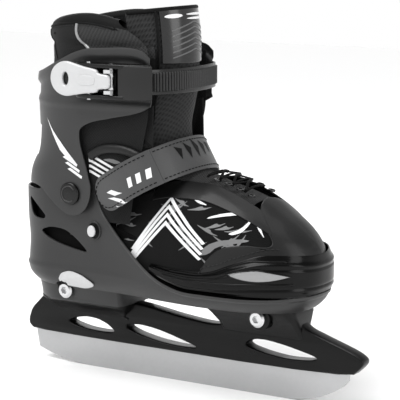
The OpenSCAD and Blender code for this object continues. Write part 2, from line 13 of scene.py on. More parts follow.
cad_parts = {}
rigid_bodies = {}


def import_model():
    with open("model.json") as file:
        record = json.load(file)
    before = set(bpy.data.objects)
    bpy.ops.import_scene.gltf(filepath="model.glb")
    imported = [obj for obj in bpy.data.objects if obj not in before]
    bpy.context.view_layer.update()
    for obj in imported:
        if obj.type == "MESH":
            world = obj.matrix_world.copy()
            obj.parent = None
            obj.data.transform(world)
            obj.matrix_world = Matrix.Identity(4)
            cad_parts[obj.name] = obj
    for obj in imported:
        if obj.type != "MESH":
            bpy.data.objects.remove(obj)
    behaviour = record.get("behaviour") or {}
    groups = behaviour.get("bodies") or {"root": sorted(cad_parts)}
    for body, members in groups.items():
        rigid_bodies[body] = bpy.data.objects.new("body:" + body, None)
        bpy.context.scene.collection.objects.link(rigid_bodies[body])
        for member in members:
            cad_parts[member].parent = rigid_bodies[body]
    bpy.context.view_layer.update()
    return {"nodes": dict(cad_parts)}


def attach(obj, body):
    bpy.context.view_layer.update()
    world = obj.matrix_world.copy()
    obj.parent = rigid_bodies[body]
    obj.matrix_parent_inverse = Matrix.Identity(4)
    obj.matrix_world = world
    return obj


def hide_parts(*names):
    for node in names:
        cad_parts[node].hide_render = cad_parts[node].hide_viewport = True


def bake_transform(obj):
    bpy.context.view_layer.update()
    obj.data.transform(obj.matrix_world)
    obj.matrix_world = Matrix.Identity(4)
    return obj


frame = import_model()
MM = 0.001
link = bpy.context.scene.collection.objects.link
for left in list(bpy.data.objects):
    if left.type in ("CAMERA", "LIGHT"):
        bpy.data.objects.remove(left)

# ---- driving dimensions, in millimetres
HEEL_X = -134
TOE_X = 107
MID_X = (HEEL_X + TOE_X) / 2
SHELL_Z = 66
RIM_Z = 77
PIVOT = (-77, 137)
CUFF_TOP = 241
BUCKLE_Z = 220
LADDER_W = 17.6
FLOOR = 3000
BLADE_T = 3.6
BLADE_H = 22
WEB_T = 11
HEEL_BOLT = (-90, 62.5)
TOE_BOLT = (68, 59)
BUTTON = (-58, 111)
TOE_BASE = 82
CAP_END = 106.5
STRAP_TILT = math.radians(30)
STRAP_LOW = 129
STRAP_W = 26


SIDES = ((-1, "lateral"), (1, "medial"))


def settle(slot, body, *objects):
    """Attaches pieces to the body they move with; slot, the material slot they stand for, is not used."""
    for obj in objects:
        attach(obj, body)


# ---- small maths
def ramp(a, b, x):
    t = np.clip((np.asarray(x, float) - a) / (b - a), 0, 1)
    return t * t * (3 - 2 * t)


def mix(a, b, t):
    return a + (b - a) * t


def lengths(points):
    """The length along a line of points up to each of them."""
    return np.concatenate([[0], np.cumsum(np.linalg.norm(np.diff(points, axis=0), axis=1))])


def sample(at, along, points):
    return np.stack([np.interp(at, along, column) for column in np.asarray(points).T], 1)


def unit(v):
    return v / (np.linalg.norm(v, axis=-1, keepdims=True) + 1e-9)


def bump_at(x, centre, width):
    """A smooth hill of height 1 round centre."""
    return np.exp(-(((np.asarray(x, float) - centre) / width) ** 2))


def round_end(d, r, n):
    q = np.clip((r - np.asarray(d, float)) / r, 0, 1)
    return np.power(np.maximum(0, 1 - q**n), 1 / n)


def smooth_curve(*points):
    """A smooth function of x through the points (x, y)."""
    xs = np.array([p[0] for p in points], float)
    ys = np.array([p[1] for p in points], float)
    secant = np.diff(ys) / np.diff(xs)
    slope = np.concatenate([[secant[0]], (secant[:-1] + secant[1:]) / 2, [secant[-1]]])
    flat = secant[:-1] * secant[1:] <= 0
    slope[1:-1][flat] = 0

    def value(x):
        x = np.clip(np.asarray(x, float), xs[0], xs[-1])
        k = np.clip(np.searchsorted(xs, x, side="right") - 1, 0, len(xs) - 2)
        h = xs[k + 1] - xs[k]
        t = (x - xs[k]) / h
        return ((2 * t**3 - 3 * t**2 + 1) * ys[k] + (t**3 - 2 * t**2 + t) * h * slope[k]
                + (3 * t**2 - 2 * t**3) * ys[k + 1] + (t**3 - t**2) * h * slope[k + 1])
    return value


def path_through(points, n):
    """n points along a smooth line through the given ones."""
    p = np.array(points, float)
    along = lengths(p)
    at = np.linspace(0, along[-1], n)
    return np.stack([smooth_curve(*zip(along, p[:, k]))(at) for k in range(p.shape[1])], 1)


def oval(x, z, rx, rz, step=10):
    """An oval outline round x, z."""
    q = np.radians(np.arange(0, 360, step))
    return list(zip(x + rx * np.cos(q), z + rz * np.sin(q)))


def rounded(outline, times=3):
    """A closed outline with its corners cut smooth."""
    p = np.array(outline, float)
    for _ in range(times):
        q = np.roll(p, -1, axis=0)
        p = np.stack([0.8 * p + 0.2 * q, 0.2 * p + 0.8 * q], 1).reshape(-1, p.shape[1])
    return p


def foot_half(x, d=0.0):
    w = mix(36, 45, ramp(-55, 35, x))
    x = np.asarray(x, float)
    return np.maximum(0, (w - d) * round_end(x - HEEL_X - d, 38, 2.2) * round_end(TOE_X - d - x, 62, 2.3))


def cuff_back(z):
    return smooth_curve((130, -128), (150, -126), (164, -120), (180, -119), (200, -120), (242, -117))(z)


def cuff_half(x, z):
    w = mix(40, 42, ramp(150, 200, z))
    r = mix(40, 58, ramp(150, 200, z))
    x = np.asarray(x, float)
    return w * round_end(x - cuff_back(z), r, 2.3) * (1 - 0.05 * ramp(-30, -4, x))


# ---- mesh making
def add_mesh(name, verts, faces, material, uv=None):
    data = bpy.data.meshes.new(name)
    data.from_pydata([tuple(v) for v in np.asarray(verts, float) * MM], [],
                     [tuple(int(i) for i in f) for f in faces])
    if uv is not None:
        layer = data.uv_layers.new(name="UVMap")
        index = np.empty(len(data.loops), np.int32)
        data.loops.foreach_get("vertex_index", index)
        layer.data.foreach_set("uv", (np.asarray(uv, float)[index] * MM).astype(np.float32).ravel())
    data.update()
    obj = bpy.data.objects.new(name, data)
    link(obj)
    data.materials.append(material)
    data.polygons.foreach_set("use_smooth", [True] * len(data.polygons))
    return obj


@contextmanager
def editing(obj):
    bm = bmesh.new()
    bm.from_mesh(obj.data)
    bm.verts.ensure_lookup_table()
    yield bm
    bm.to_mesh(obj.data)
    bm.free()


def apply_modifiers(obj):
    graph = bpy.context.evaluated_depsgraph_get()
    graph.update()
    made = bpy.data.meshes.new_from_object(obj.evaluated_get(graph))
    obj.modifiers.clear()
    obj.data = made
    return obj


def weld(obj):
    """Joins points that lie together and drops the faces they closed."""
    with editing(obj) as bm:
        bmesh.ops.remove_doubles(bm, verts=bm.verts, dist=0.00002)
        bmesh.ops.dissolve_degenerate(bm, edges=bm.edges, dist=0.00001)


def finish_mesh(obj, thickness=0.0, bevel=0.0, segments=3):
    """Gives a sheet its thickness inwards, rounds its edges and sets its normals."""
    weld(obj)
    if thickness:
        m = obj.modifiers.new("thick", "SOLIDIFY")
        m.thickness = thickness * MM
        m.offset = -1
        m.thickness_clamp = 1.2
    if bevel:
        m = obj.modifiers.new("bevel", "BEVEL")
        m.width = bevel * MM
        m.segments = segments
        m.limit_method = "ANGLE"
        m.angle_limit = math.radians(50)
    apply_modifiers(obj)
    obj.data.set_sharp_from_angle(angle=math.radians(40))
    return obj


def grid_mesh(name, grid, material, closed=False):
    """A mesh over grid[row][column], with its UVs in millimetres along both directions."""
    g = np.asarray(grid, float)
    m, n = g.shape[:2]
    across = np.concatenate([np.zeros((m, 1)), np.cumsum(np.linalg.norm(np.diff(g, axis=1), axis=2), 1)], 1)
    up = np.concatenate([np.zeros((1, n)), np.cumsum(np.linalg.norm(np.diff(g, axis=0), axis=2), 0)], 0)
    across = np.repeat(across.mean(0)[None], m, 0)
    uv = np.stack([across, up], 2).reshape(-1, 2)
    last = n if closed else n - 1
    faces = [(j * n + i, j * n + (i + 1) % n, (j + 1) * n + (i + 1) % n, (j + 1) * n + i)
             for j in range(m - 1) for i in range(last)]
    return add_mesh(name, g.reshape(-1, 3), faces, material, uv)


def band_faces(ring, rows):
    """Faces of a closed band of rings, with one face at each end."""
    faces = [(j * ring + i, j * ring + (i + 1) % ring, (j + 1) * ring + (i + 1) % ring, (j + 1) * ring + i)
             for j in range(rows - 1) for i in range(ring)]
    return faces + [tuple(range(ring - 1, -1, -1)), tuple((rows - 1) * ring + i for i in range(ring))]


def closed_mesh(name, rings, material):
    """A solid skin through rings of points from its bottom to its top."""
    g = np.asarray(rings, float)
    obj = add_mesh(name, g.reshape(-1, 3), band_faces(g.shape[1], g.shape[0]), material)
    with editing(obj) as bm:
        bmesh.ops.recalc_face_normals(bm, faces=bm.faces[:])
    return obj


def reshape(obj, change):
    """Moves a mesh's points; change takes and gives an array of places in metres."""
    co = np.array([v.co for v in obj.data.vertices])
    obj.data.vertices.foreach_set("co", change(co).ravel())


def lay_flat(obj):
    """Turns a plate so that its outline lies in [x, y]."""
    reshape(obj, lambda co: co[:, [0, 2, 1]])
    obj.data.flip_normals()
    return obj


def flip_normals(obj):
    obj.data.flip_normals()
    return obj


def slab(name, outline, y0, y1, bevel, material, holes=()):
    """A plate with a side outline [x, z], rounded edges and holes, from y0 to y1."""
    curve = bpy.data.curves.new(name, "CURVE")
    curve.dimensions = "2D"
    curve.fill_mode = "BOTH"
    curve.extrude = ((y1 - y0) / 2 - bevel) * MM
    curve.bevel_depth = bevel * MM
    curve.bevel_resolution = 2
    curve.offset = -bevel * MM
    for ring in [outline, *holes]:
        spline = curve.splines.new("POLY")
        spline.points.add(len(ring) - 1)
        for point, (x, z) in zip(spline.points, ring):
            point.co = (x * MM, z * MM, 0, 1)
        spline.use_cyclic_u = True
    temp = bpy.data.objects.new(name + "_curve", curve)
    link(temp)
    graph = bpy.context.evaluated_depsgraph_get()
    graph.update()
    data = bpy.data.meshes.new_from_object(temp.evaluated_get(graph))
    bpy.data.objects.remove(temp)
    co = np.empty(len(data.vertices) * 3)
    data.vertices.foreach_get("co", co)
    co = co.reshape(-1, 3)
    placed = np.stack([co[:, 0], (y0 + y1) / 2 * MM - co[:, 2], co[:, 1]], 1)
    data.vertices.foreach_set("co", placed.ravel())
    data.update()
    data.materials.clear()
    data.materials.append(material)
    obj = bpy.data.objects.new(name, data)
    link(obj)
    with editing(obj) as bm:
        bmesh.ops.remove_doubles(bm, verts=bm.verts, dist=1e-6)
    data.polygons.foreach_set("use_smooth", [True] * len(data.polygons))
    data.set_sharp_from_angle(angle=math.radians(35))
    return obj


def tube(name, points, radius, material, flatten=1.0, normal=None, sides=10):
    """A round or flattened tube along points; its UV runs along and round it, in millimetres."""
    p = np.asarray(points, float)
    n = len(p)
    tangent = np.roll(p, -1, 0) - np.roll(p, 1, 0)
    tangent[0] = p[1] - p[0]
    tangent[-1] = p[-1] - p[-2]
    side = unit(np.cross(unit(tangent), normal))
    up = np.cross(side, unit(tangent))
    r = np.broadcast_to(np.asarray(radius, float), (n,))
    a = np.linspace(0, 2 * math.pi, sides, endpoint=False)
    ring = (p[:, None] + side[:, None] * (np.cos(a)[None, :, None] * r[:, None, None])
            + up[:, None] * (np.sin(a)[None, :, None] * (r * flatten)[:, None, None]))
    uv = np.stack([np.repeat(lengths(p)[:, None], sides, 1), np.repeat((a * r.mean())[None], n, 0)], 2)
    faces = [(i * sides + k, i * sides + (k + 1) % sides, (i + 1) * sides + (k + 1) % sides,
              (i + 1) * sides + k)
             for i in range(n - 1) for k in range(sides)]
    faces += [tuple(range(sides - 1, -1, -1)), tuple((n - 1) * sides + k for k in range(sides))]
    return add_mesh(name, ring.reshape(-1, 3), faces, material, uv.reshape(-1, 2))


class Surface:
    """The outside of a finished mesh, for laying seams and marks on it by casting rays."""

    def __init__(self, obj):
        graph = bpy.context.evaluated_depsgraph_get()
        graph.update()
        self.tree = BVHTree.FromObject(obj, graph)

    def lay(self, points, toward, lift):
        """Drops each point onto the mesh along toward; returns the points, lifted, and normals."""
        d = Vector(toward).normalized()
        out, normals = [], []
        for p in np.asarray(points, float):
            start = Vector(p * MM) - d * 0.2
            hit, normal, _, _ = self.tree.ray_cast(start, d)
            if hit is None:
                hit, normal, _, _ = self.tree.find_nearest(Vector(p * MM))
            if normal.dot(d) > 0:
                normal = -normal
            out.append(np.array(hit) / MM + np.array(normal) * lift)
            normals.append(np.array(normal))
        return np.array(out), np.array(normals)


def side_points(xz, side):
    """[x, z] points as 3D points in the middle plane, and the ray towards that side's surface."""
    p = np.asarray(xz, float)
    return np.stack([p[:, 0], np.full(len(p), side * 60.0), p[:, 1]], 1), (0, -side, 0)


def piping(name, surface, xz, side, radius, material, n=60, flatten=0.7, lift=0.2):
    """A cord laid along a line [x, z] on one side of a surface."""
    pts, nor = surface.lay(*side_points(path_through(xz, n), side), lift)
    return tube(name, pts, radius, material, normal=nor, flatten=flatten)


def stitches(name, pts, normals, material):
    """Thread along a line of points: one short rounded bar for each stitch."""
    length, gap, radius = 2.3, 1.1, 0.32
    profile = [(-0.5, 0.35), (-0.36, 0.9), (0, 1.0), (0.36, 0.9), (0.5, 0.35)]
    along = lengths(pts)
    verts, faces = [], []
    for k in range(int((along[-1] - length) / (length + gap))):
        mid = k * (length + gap) + length / 2 + gap
        at = [mid + f * length for f, _ in profile]
        line, nor = sample(at, along, pts), sample(at, along, normals)
        side = np.cross(line[-1] - line[0], nor[2])
        side /= np.linalg.norm(side) + 1e-9
        base = len(verts)
        for (_, scale), c, m in zip(profile, line, nor):
            for a in np.linspace(0, 2 * math.pi, 6, endpoint=False):
                verts.append(c + (side * math.cos(a) + m * math.sin(a)) * radius * scale)
        faces += [tuple(base + v for v in f) for f in band_faces(6, 5)]
    return add_mesh(name, verts, faces, material)


def decal(name, surface, outlines, side, material, lift=0.25, cast=side_points):
    """Flat marks laid on a surface: print, inserts, and the painted shade of the button recess. Each
    outline is a closed list of points; cast gives their starts and ray for that side."""
    verts, faces = [], []
    for outline in outlines:
        bm = bmesh.new()
        ring = [bm.verts.new((p[0], p[1], 0)) for p in outline]
        bm.faces.new(ring)
        bmesh.ops.triangulate(bm, faces=bm.faces[:])
        for _ in range(4):
            long_edges = [e for e in bm.edges if e.calc_length() > 2.2]
            if not long_edges:
                break
            bmesh.ops.subdivide_edges(bm, edges=long_edges, cuts=1)
            bmesh.ops.triangulate(bm, faces=bm.faces[:])
        base = len(verts)
        bm.verts.ensure_lookup_table()
        bm.verts.index_update()
        flat = np.array([v.co[:2] for v in bm.verts])
        laid, _ = surface.lay(*cast(flat, side), lift)
        verts.extend(laid)
        faces.extend([tuple(base + v.index for v in f.verts) for f in bm.faces])
        bm.free()
    return add_mesh(name, verts, faces, material)


def front_points(yz, side):
    """[y, z] points ahead of the skate, and the ray back to its front."""
    p = np.asarray(yz, float)
    return np.stack([np.full(len(p), 60.0), p[:, 0], p[:, 1]], 1), (side, 0, 0)


def cut(obj, cutters):
    """Cuts closed shapes out of a mesh, then removes them."""
    for c in cutters:
        m = obj.modifiers.new("cut", "BOOLEAN")
        m.operation = "DIFFERENCE"
        m.solver = "EXACT"
        m.object = c
    apply_modifiers(obj)
    for c in cutters:
        bpy.data.objects.remove(c)
    return obj


def cylinder_y(name, x, z, r, y0, y1, material, sides=48, bevel=0.0):
    a = np.linspace(0, 2 * math.pi, sides, endpoint=False)
    return slab(name, np.stack([x + r * np.cos(a), z + r * np.sin(a)], 1), y0, y1, bevel, material)


# ---- materials
def grey(v):
    """A display grey, 0 to 1, as a linear colour with a trace of coolness."""
    g = v**2.2
    return (g, g * 1.005, g * 1.015)


def material(name, tone, roughness, metallic=0.0, grain=0.0, grain_size=0.6, weave=None, coat=0.0,
             brushed=None, sheen=0.0, bump=0.25, spec=0.35):
    """A surface with real variation; tone is its display grey. Sizes are in millimetres: grain_size of
    the moulded texture, weave = (pitch, depth) of a knitted cover, brushed = (pitch, stretch) of a
    ground metal."""
    m = bpy.data.materials.new(name)
    m.use_nodes = True
    nodes, links = m.node_tree.nodes, m.node_tree.links

    def feed(made, inputs):
        """Sets each input of a node to a value, or links it to the output given."""
        for socket, value in inputs.items():
            if isinstance(value, bpy.types.NodeSocket):
                links.new(value, made.inputs[socket])
            else:
                made.inputs[socket].default_value = value
        return made

    def node(kind, inputs):
        return feed(nodes.new("ShaderNode" + kind), inputs)

    def noise(scale, detail, stretch=(1.0, 1.0, 1.0)):
        place = node("Mapping", {"Scale": stretch, "Vector": where["Object"]})
        made = node("TexNoise", {"Scale": scale, "Detail": detail, "Vector": place.outputs["Vector"]})
        return made.outputs["Fac"]

    def maths(op, a, b):
        made = node("Math", {0: a, 1: b})
        made.operation = op
        return made.outputs[0]

    def spread(value, low, high):
        return node("MapRange", {"Value": value, "To Min": low, "To Max": high}).outputs["Result"]

    where = nodes.new("ShaderNodeTexCoord").outputs
    # slow change of tone and gloss: handling marks and dust
    slow = maths("MULTIPLY", noise(14.0, 4.0), 0.75)
    fine = maths("MULTIPLY", noise(420.0, 2.0), 0.25)
    shade = spread(maths("ADD", slow, fine), 0.86, 1.14)
    colour = node("HueSaturation", {"Color": (*grey(tone), 1), "Value": shade}).outputs["Color"]
    gloss = spread(noise(45.0, 5.0), max(0.03, roughness - 0.09), min(1.0, roughness + 0.11))
    relief = []
    if grain:
        relief.append(maths("MULTIPLY", noise(1000.0 / grain_size, 2.0), grain))
    if brushed:
        pitch, stretch = brushed
        relief.append(maths("MULTIPLY", noise(1000.0 / pitch, 2.0, (stretch, 1.0, 1.0)), 0.5))
    if weave:
        pitch, depth = weave
        turned = node("Mapping", {"Rotation": (0, 0, math.radians(45)), "Vector": where["UV"]})
        holes = node("TexVoronoi", {"Scale": 1000.0 / pitch, "Randomness": 0.12,
                                    "Vector": turned.outputs["Vector"]}).outputs["Distance"]
        relief.append(maths("MULTIPLY", holes, -depth))
        steps = node("ValToRGB", {"Fac": holes})
        steps.color_ramp.elements[0].position = 0.1
        steps.color_ramp.elements[1].position = 0.5
        steps.color_ramp.elements[1].color = (0.16, 0.16, 0.16, 1)
        dark = node("MixRGB", {"Fac": 0.9, "Color1": colour, "Color2": steps.outputs["Color"]})
        dark.blend_type = "MULTIPLY"
        colour = dark.outputs["Color"]
    height = relief[0]
    for part in relief[1:]:
        height = maths("ADD", height, part)
    raised = node("Bump", {"Strength": bump, "Distance": 0.0006, "Height": height})
    feed(nodes["Principled BSDF"], {"Base Color": colour, "Roughness": gloss, "Metallic": metallic,
                                    "Coat Weight": coat, "Coat Roughness": 0.15, "Sheen Weight": sheen,
                                    "Specular IOR Level": spec, "Normal": raised.outputs["Normal"]})
    return m


SHELL = material("shell_plastic", 0.17, 0.4, grain=0.5, grain_size=0.9, bump=0.2, spec=0.4)
CUFF = material("cuff_plastic", 0.18, 0.37, grain=0.5, grain_size=0.9, bump=0.2, spec=0.42)
HOLDER = material("holder_plastic", 0.05, 0.3, grain=0.6, grain_size=0.7, bump=0.2, spec=0.2)
STEEL = material("blade_steel", 0.7, 0.42, metallic=1.0, brushed=(0.35, 0.03), bump=0.18)
METAL = material("bolt_steel", 0.8, 0.24, metallic=1.0, grain=0.2, grain_size=0.5, bump=0.1)
LEVER = material("lever_silver", 0.75, 0.34, metallic=0.2, grain=0.35, grain_size=0.4, coat=0.3, bump=0.12)
BLACK_PLASTIC = material("buckle_plastic", 0.04, 0.26, grain=0.4, grain_size=0.6, bump=0.15, coat=0.1,
                         spec=0.3)
BUCKLE_COVER = material("buckle_cover", 0.09, 0.42, grain=0.6, grain_size=0.6, bump=0.2, spec=0.4)
RUBBER = material("rand_rubber", 0.02, 0.22, grain=0.5, grain_size=1.1, coat=0.12, bump=0.12, spec=0.12)
TOE = material("toe_leather", 0.1, 0.42, grain=0.9, grain_size=1.3, bump=0.16, coat=0.12, spec=0.22)
FABRIC = material("liner_fabric", 0.27, 0.85, weave=(1.5, 0.9), sheen=0.05, bump=0.5, spec=0.12)
FINE_FABRIC = material("vamp_fabric", 0.13, 0.75, weave=(1.0, 0.8), sheen=0.05, bump=0.45, spec=0.1)
MESH_FABRIC = material("diamond_mesh", 0.36, 0.75, weave=(2.6, 1.4), sheen=0.05, bump=0.8, spec=0.12)
SIDE_MESH = material("side_mesh", 0.42, 0.8, weave=(2.0, 1.0), sheen=0.05, bump=0.6, spec=0.12)
INNER = material("inner_lining", 0.12, 0.9, weave=(1.1, 0.6), sheen=0.0, bump=0.4, spec=0.1)
BINDING = material("collar_binding", 0.1, 0.62, weave=(0.7, 0.6), sheen=0.0, bump=0.35, spec=0.15)
STRAP = material("strap_leather", 0.26, 0.44, grain=0.9, grain_size=1.0, bump=0.18, coat=0.08, spec=0.3)
LADDER = material("ladder_plastic", 0.14, 0.36, grain=0.4, grain_size=0.8, bump=0.15, spec=0.4)
LABEL = material("label_film", 0.12, 0.2, metallic=0.2, coat=0.4, grain=0.2, grain_size=2.0, bump=0.1)
WHITE = material("white_print", 0.86, 0.5, grain=0.3, grain_size=0.5, bump=0.1)
PALE = material("pale_print", 0.42, 0.5, grain=0.3, grain_size=0.5, bump=0.1)
PALE_LINE = material("pale_line", 0.34, 0.4, grain=0.3, grain_size=0.5, bump=0.1)
# dark ink of the printed slashes on the strap, also used as painted shade for the button's oval recess
DARK_PRINT_AND_SHADE = material("dark_print_and_shade", 0.06, 0.5, grain=0.3, grain_size=0.5, bump=0.1, spec=0.15)
SILVER = material("silver_paint", 0.56, 0.34, metallic=0.3, grain=0.5, grain_size=0.8, coat=0.3, bump=0.2)
THREAD = material("thread", 0.06, 0.7, grain=0.6, grain_size=0.2, bump=0.3, spec=0.1)
DARK_THREAD = material("dark_thread", 0.2, 0.7, grain=0.6, grain_size=0.2, bump=0.3, spec=0.1)
LACE = material("lace_cord", 0.12, 0.75, weave=(0.8, 0.9), bump=0.6, spec=0.12)
FOAM = material("footbed_foam", 0.3, 0.85, weave=(1.4, 0.5), bump=0.3)


# ---- lower shell
rim_at = smooth_curve((-140, 137), (-108, 137), (-97, 146), (-62, 146), (-56, 138), (-52, 129),
                      (-40, 113), (-24, 98), (-4, 84.5), (14, 78.5), (26, RIM_Z), (60, RIM_Z), (120,
                              RIM_Z + 1.5))


def plan_stations(n, d=0.0):
    k = np.arange(n + 1)
    x = MID_X - ((TOE_X - HEEL_X) / 2 - d) * np.cos(math.pi * k / n)
    y = foot_half(x, d)
    lateral = np.stack([x, -y], 1)
    return np.concatenate([lateral, lateral[1:-1][::-1] * [1, -1]])


def lower_shell():
    plan = plan_stations(110)
    rows = []
    for v in np.linspace(0, 1, 46):
        z = mix(SHELL_Z, rim_at(plan[:, 0]), v)
        tuck = 1 - 0.17 * (1 - np.clip((z - SHELL_Z) / 12, 0, 1)) ** 2.0
        # waisted heel, thicker lip along the rim, and a rib over the sole
        lip = 0.9 * ramp(3.4, 1.6, rim_at(plan[:, 0]) - z) * ramp(-112, -60, plan[:, 0])
        rib = 0.8 * bump_at(z, 80, 1.6) * ramp(-10, -60, plan[:, 0])
        waist = -1.1 * bump_at(z, 98, 13) * ramp(0, -50, plan[:, 0])
        out = 1 + (lip + rib + waist) / 40
        x = MID_X + (plan[:, 0] - MID_X) * mix(1, tuck, 0.4) * (1 + (lip + rib + waist) / 130)
        rows.append(np.stack([x, plan[:, 1] * tuck * out, z], 1))
    obj = grid_mesh("lower_shell_skin", np.array(rows), SHELL, closed=True)
    with editing(obj) as bm:
        bottom = [bm.verts[i] for i in range(len(plan))]
        centre = bm.verts.new((MID_X * MM, 0, SHELL_Z * MM))
        for i, corner in enumerate(bottom):
            bm.faces.new((bottom[(i + 1) % len(plan)], corner, centre))
    finish_mesh(obj, thickness=2.8)
    leaf = rounded([(-107, 107), (-97, 110.5), (-84, 109.5), (-75, 104), (-63, 93.5), (-78, 96), (-92, 99),
                    (-102, 103)])
    corner = rounded([(-121, 133), (-101, 118.5), (-103, 115), (-116, 116)], 2)
    cutters = [slab("cut_leaf", leaf, -60, 60, 0.0, SHELL), slab("cut_corner", corner, -60, 60, 0.0, SHELL),
               cylinder_y("cut_bolt", *HEEL_BOLT, 7.6, -60, 60, SHELL)]
    cut(obj, cutters)
    finish_mesh(obj, bevel=0.5, segments=2)
    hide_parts("lower_shell")
    settle("shell_plastic", "boot", obj)
    return obj


def heel_post():
    """The part of the shell that stands on the holder's heel."""
    rows = []
    for z, grow in [(54, 0.0), (55, 0.6), (60, 1.2), (66, 2.4), (72, 3.6)]:
        a = np.linspace(math.pi / 2, 3 * math.pi / 2, 40)
        r = 25.6 + grow
        back = np.stack([-99 + r * np.cos(a), r * np.sin(a)], 1)
        front = np.array([(-46, -24 - grow), (-43.5, -20 - grow), (-43, 0), (-43.5, 20 + grow),
                          (-46, 24 + grow)], float)
        ring = np.concatenate([back, front])
        rows.append(np.concatenate([ring, np.full((len(ring), 1), z)], 1))
    obj = closed_mesh("heel_post", rows, SHELL)
    cut(obj, [cylinder_y("cut_l", *HEEL_BOLT, 7.4, -60, -26, SHELL),
              cylinder_y("cut_m", *HEEL_BOLT, 7.4, 26, 60, SHELL)])
    finish_mesh(obj, bevel=0.5, segments=2)
    settle("shell_plastic", "boot", obj)
    return obj


# ---- cuff
def cuff_line(points, n):
    """A line [x, z] on the cuff's side, as [s, z], where s runs 0 at the front to 1 at the back."""
    p = path_through(points, n)
    back = cuff_back(p[:, 1])
    s = np.arcsin(np.clip((p[:, 0] + 6) / (back + 6), 0, 1)) / (math.pi / 2)
    return np.stack([s, p[:, 1]], 1)


def cuff_point(s, z, side, out):
    back = cuff_back(z)
    x = mix(-6.0, back, np.sin(s * math.pi / 2))
    y = cuff_half(x, z)
    return np.stack([x - out * ramp(0.6, 1.0, s), side * (y + out * ramp(1.0, 0.75, s)), z], -1)


def cuff():
    n, m = 120, 60
    top = cuff_line([(-6, 236.5), (-12, CUFF_TOP), (-50, CUFF_TOP + 1), (-66, 239), (-84, 231.5),
                     (-104, 223.5),
                     (-118, 220), (-125, 219)], n)
    top[-1, 0] = 1
    low_edge = path_through([(-6, 203), (-14, 199), (-40, 193), (-58, 188.5), (-65, 184), (-66, 177),
                             (-63.5, 165),
                             (-60, 152), (-57.6, 142), (-59, 133), (-63, 126), (-69, 122), (-76,
                                     121.5), (-84, 125),
                             (-93, 132), (-103, 139.5), (-114, 141), (-130, 141)], 160)
    low = cuff_line([(-6, 196), (-50, 118), (-130, 118)], n)
    grid = []
    for v in np.linspace(0, 1, m):
        s = mix(low[:, 0], top[:, 0], v)
        z = mix(low[:, 1], top[:, 1], v)
        lip = 1.5 * ramp(7.5, 5.0, top[:, 1] - z)
        belt = -0.9 * ramp(7, 9, top[:, 1] - z) * ramp(203, 206, z) * ramp(0.98, 0.8, s)
        bead = 0.7 * bump_at(z, 202, 1.8) * ramp(0.95, 0.7, s)
        out = lip * (0.75 + 0.25 * ramp(0, 3, top[:, 1] - z)) + belt + bead
        lateral = cuff_point(s, z, -1, out)
        medial = cuff_point(s, z, 1, out)[::-1][1:]
        grid.append(np.concatenate([lateral, medial]))
    obj = grid_mesh("cuff_skin", np.array(grid), CUFF)
    finish_mesh(obj, thickness=2.8)
    window = slab("cut_window", [(-140, 159), (-140, 185), (-100, 183), (-100, 161)], -30, 30, 0, CUFF)
    below = slab("cut_below", np.concatenate([[(4, 204.5)], low_edge, [(-160, 141), (-160, 90), (4, 90)]]),
                 -70, 70, 0, CUFF)
    cut(obj, [below, window, cylinder_y("cut_pivot", *PIVOT, 5.2, -60, 60, CUFF)])
    finish_mesh(obj, bevel=0.55, segments=2)
    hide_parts("cuff")
    settle("shell_plastic", "ankle_cuff", obj)
    return obj


# ---- toe piece
toe_top = smooth_curve((-44, 136), (0, 152), (26, 153), (46, 148), (66, 138.5), (78, 130.5), (88, 124),
                       (97, 117),
                       (103, 111), (107, 103.5), (109, 92))


def toe_section(x, a, d=0.0):
    """Arched section of the toe piece at x; a runs 0 at the outer side to pi at the inner side."""
    w = np.maximum(foot_half(np.minimum(x, TOE_X - 0.5)) - 3.0 - d, 1.0)
    h = np.maximum(toe_top(x) - TOE_BASE - d, 0.5)
    c, s = np.cos(a), np.sin(a)
    return np.stack([x + 0 * a, -w * np.sign(c) * np.abs(c) ** 0.75,
                     TOE_BASE + h * np.maximum(s, 0) ** 0.8], -1)


def toe_grid(x0, x1, a0, a1, m, n, d=0.0, crowd=False):
    """Rows of the toe piece from the line x0(a) to the line x1(a), closer towards x1 with crowd."""
    a = np.linspace(a0, a1, n)
    steps = np.linspace(0, 1, m)
    if crowd:
        steps = np.sin(steps * math.pi / 2)
    return np.array([toe_section(mix(x0(a), x1(a), t), a, d) for t in steps])


def seam_x(a):
    """Where the toe cap's rear seam lies: from the top it sweeps forwards, then back along the side."""
    q = np.abs(np.asarray(a) - math.pi / 2) / (math.pi / 2)
    return smooth_curve((0, 64), (0.25, 70), (0.42, 79), (0.54, 84), (0.62, 81), (0.7, 66), (0.78, 51),
                        (0.88, 40), (1.0, 32))(q)


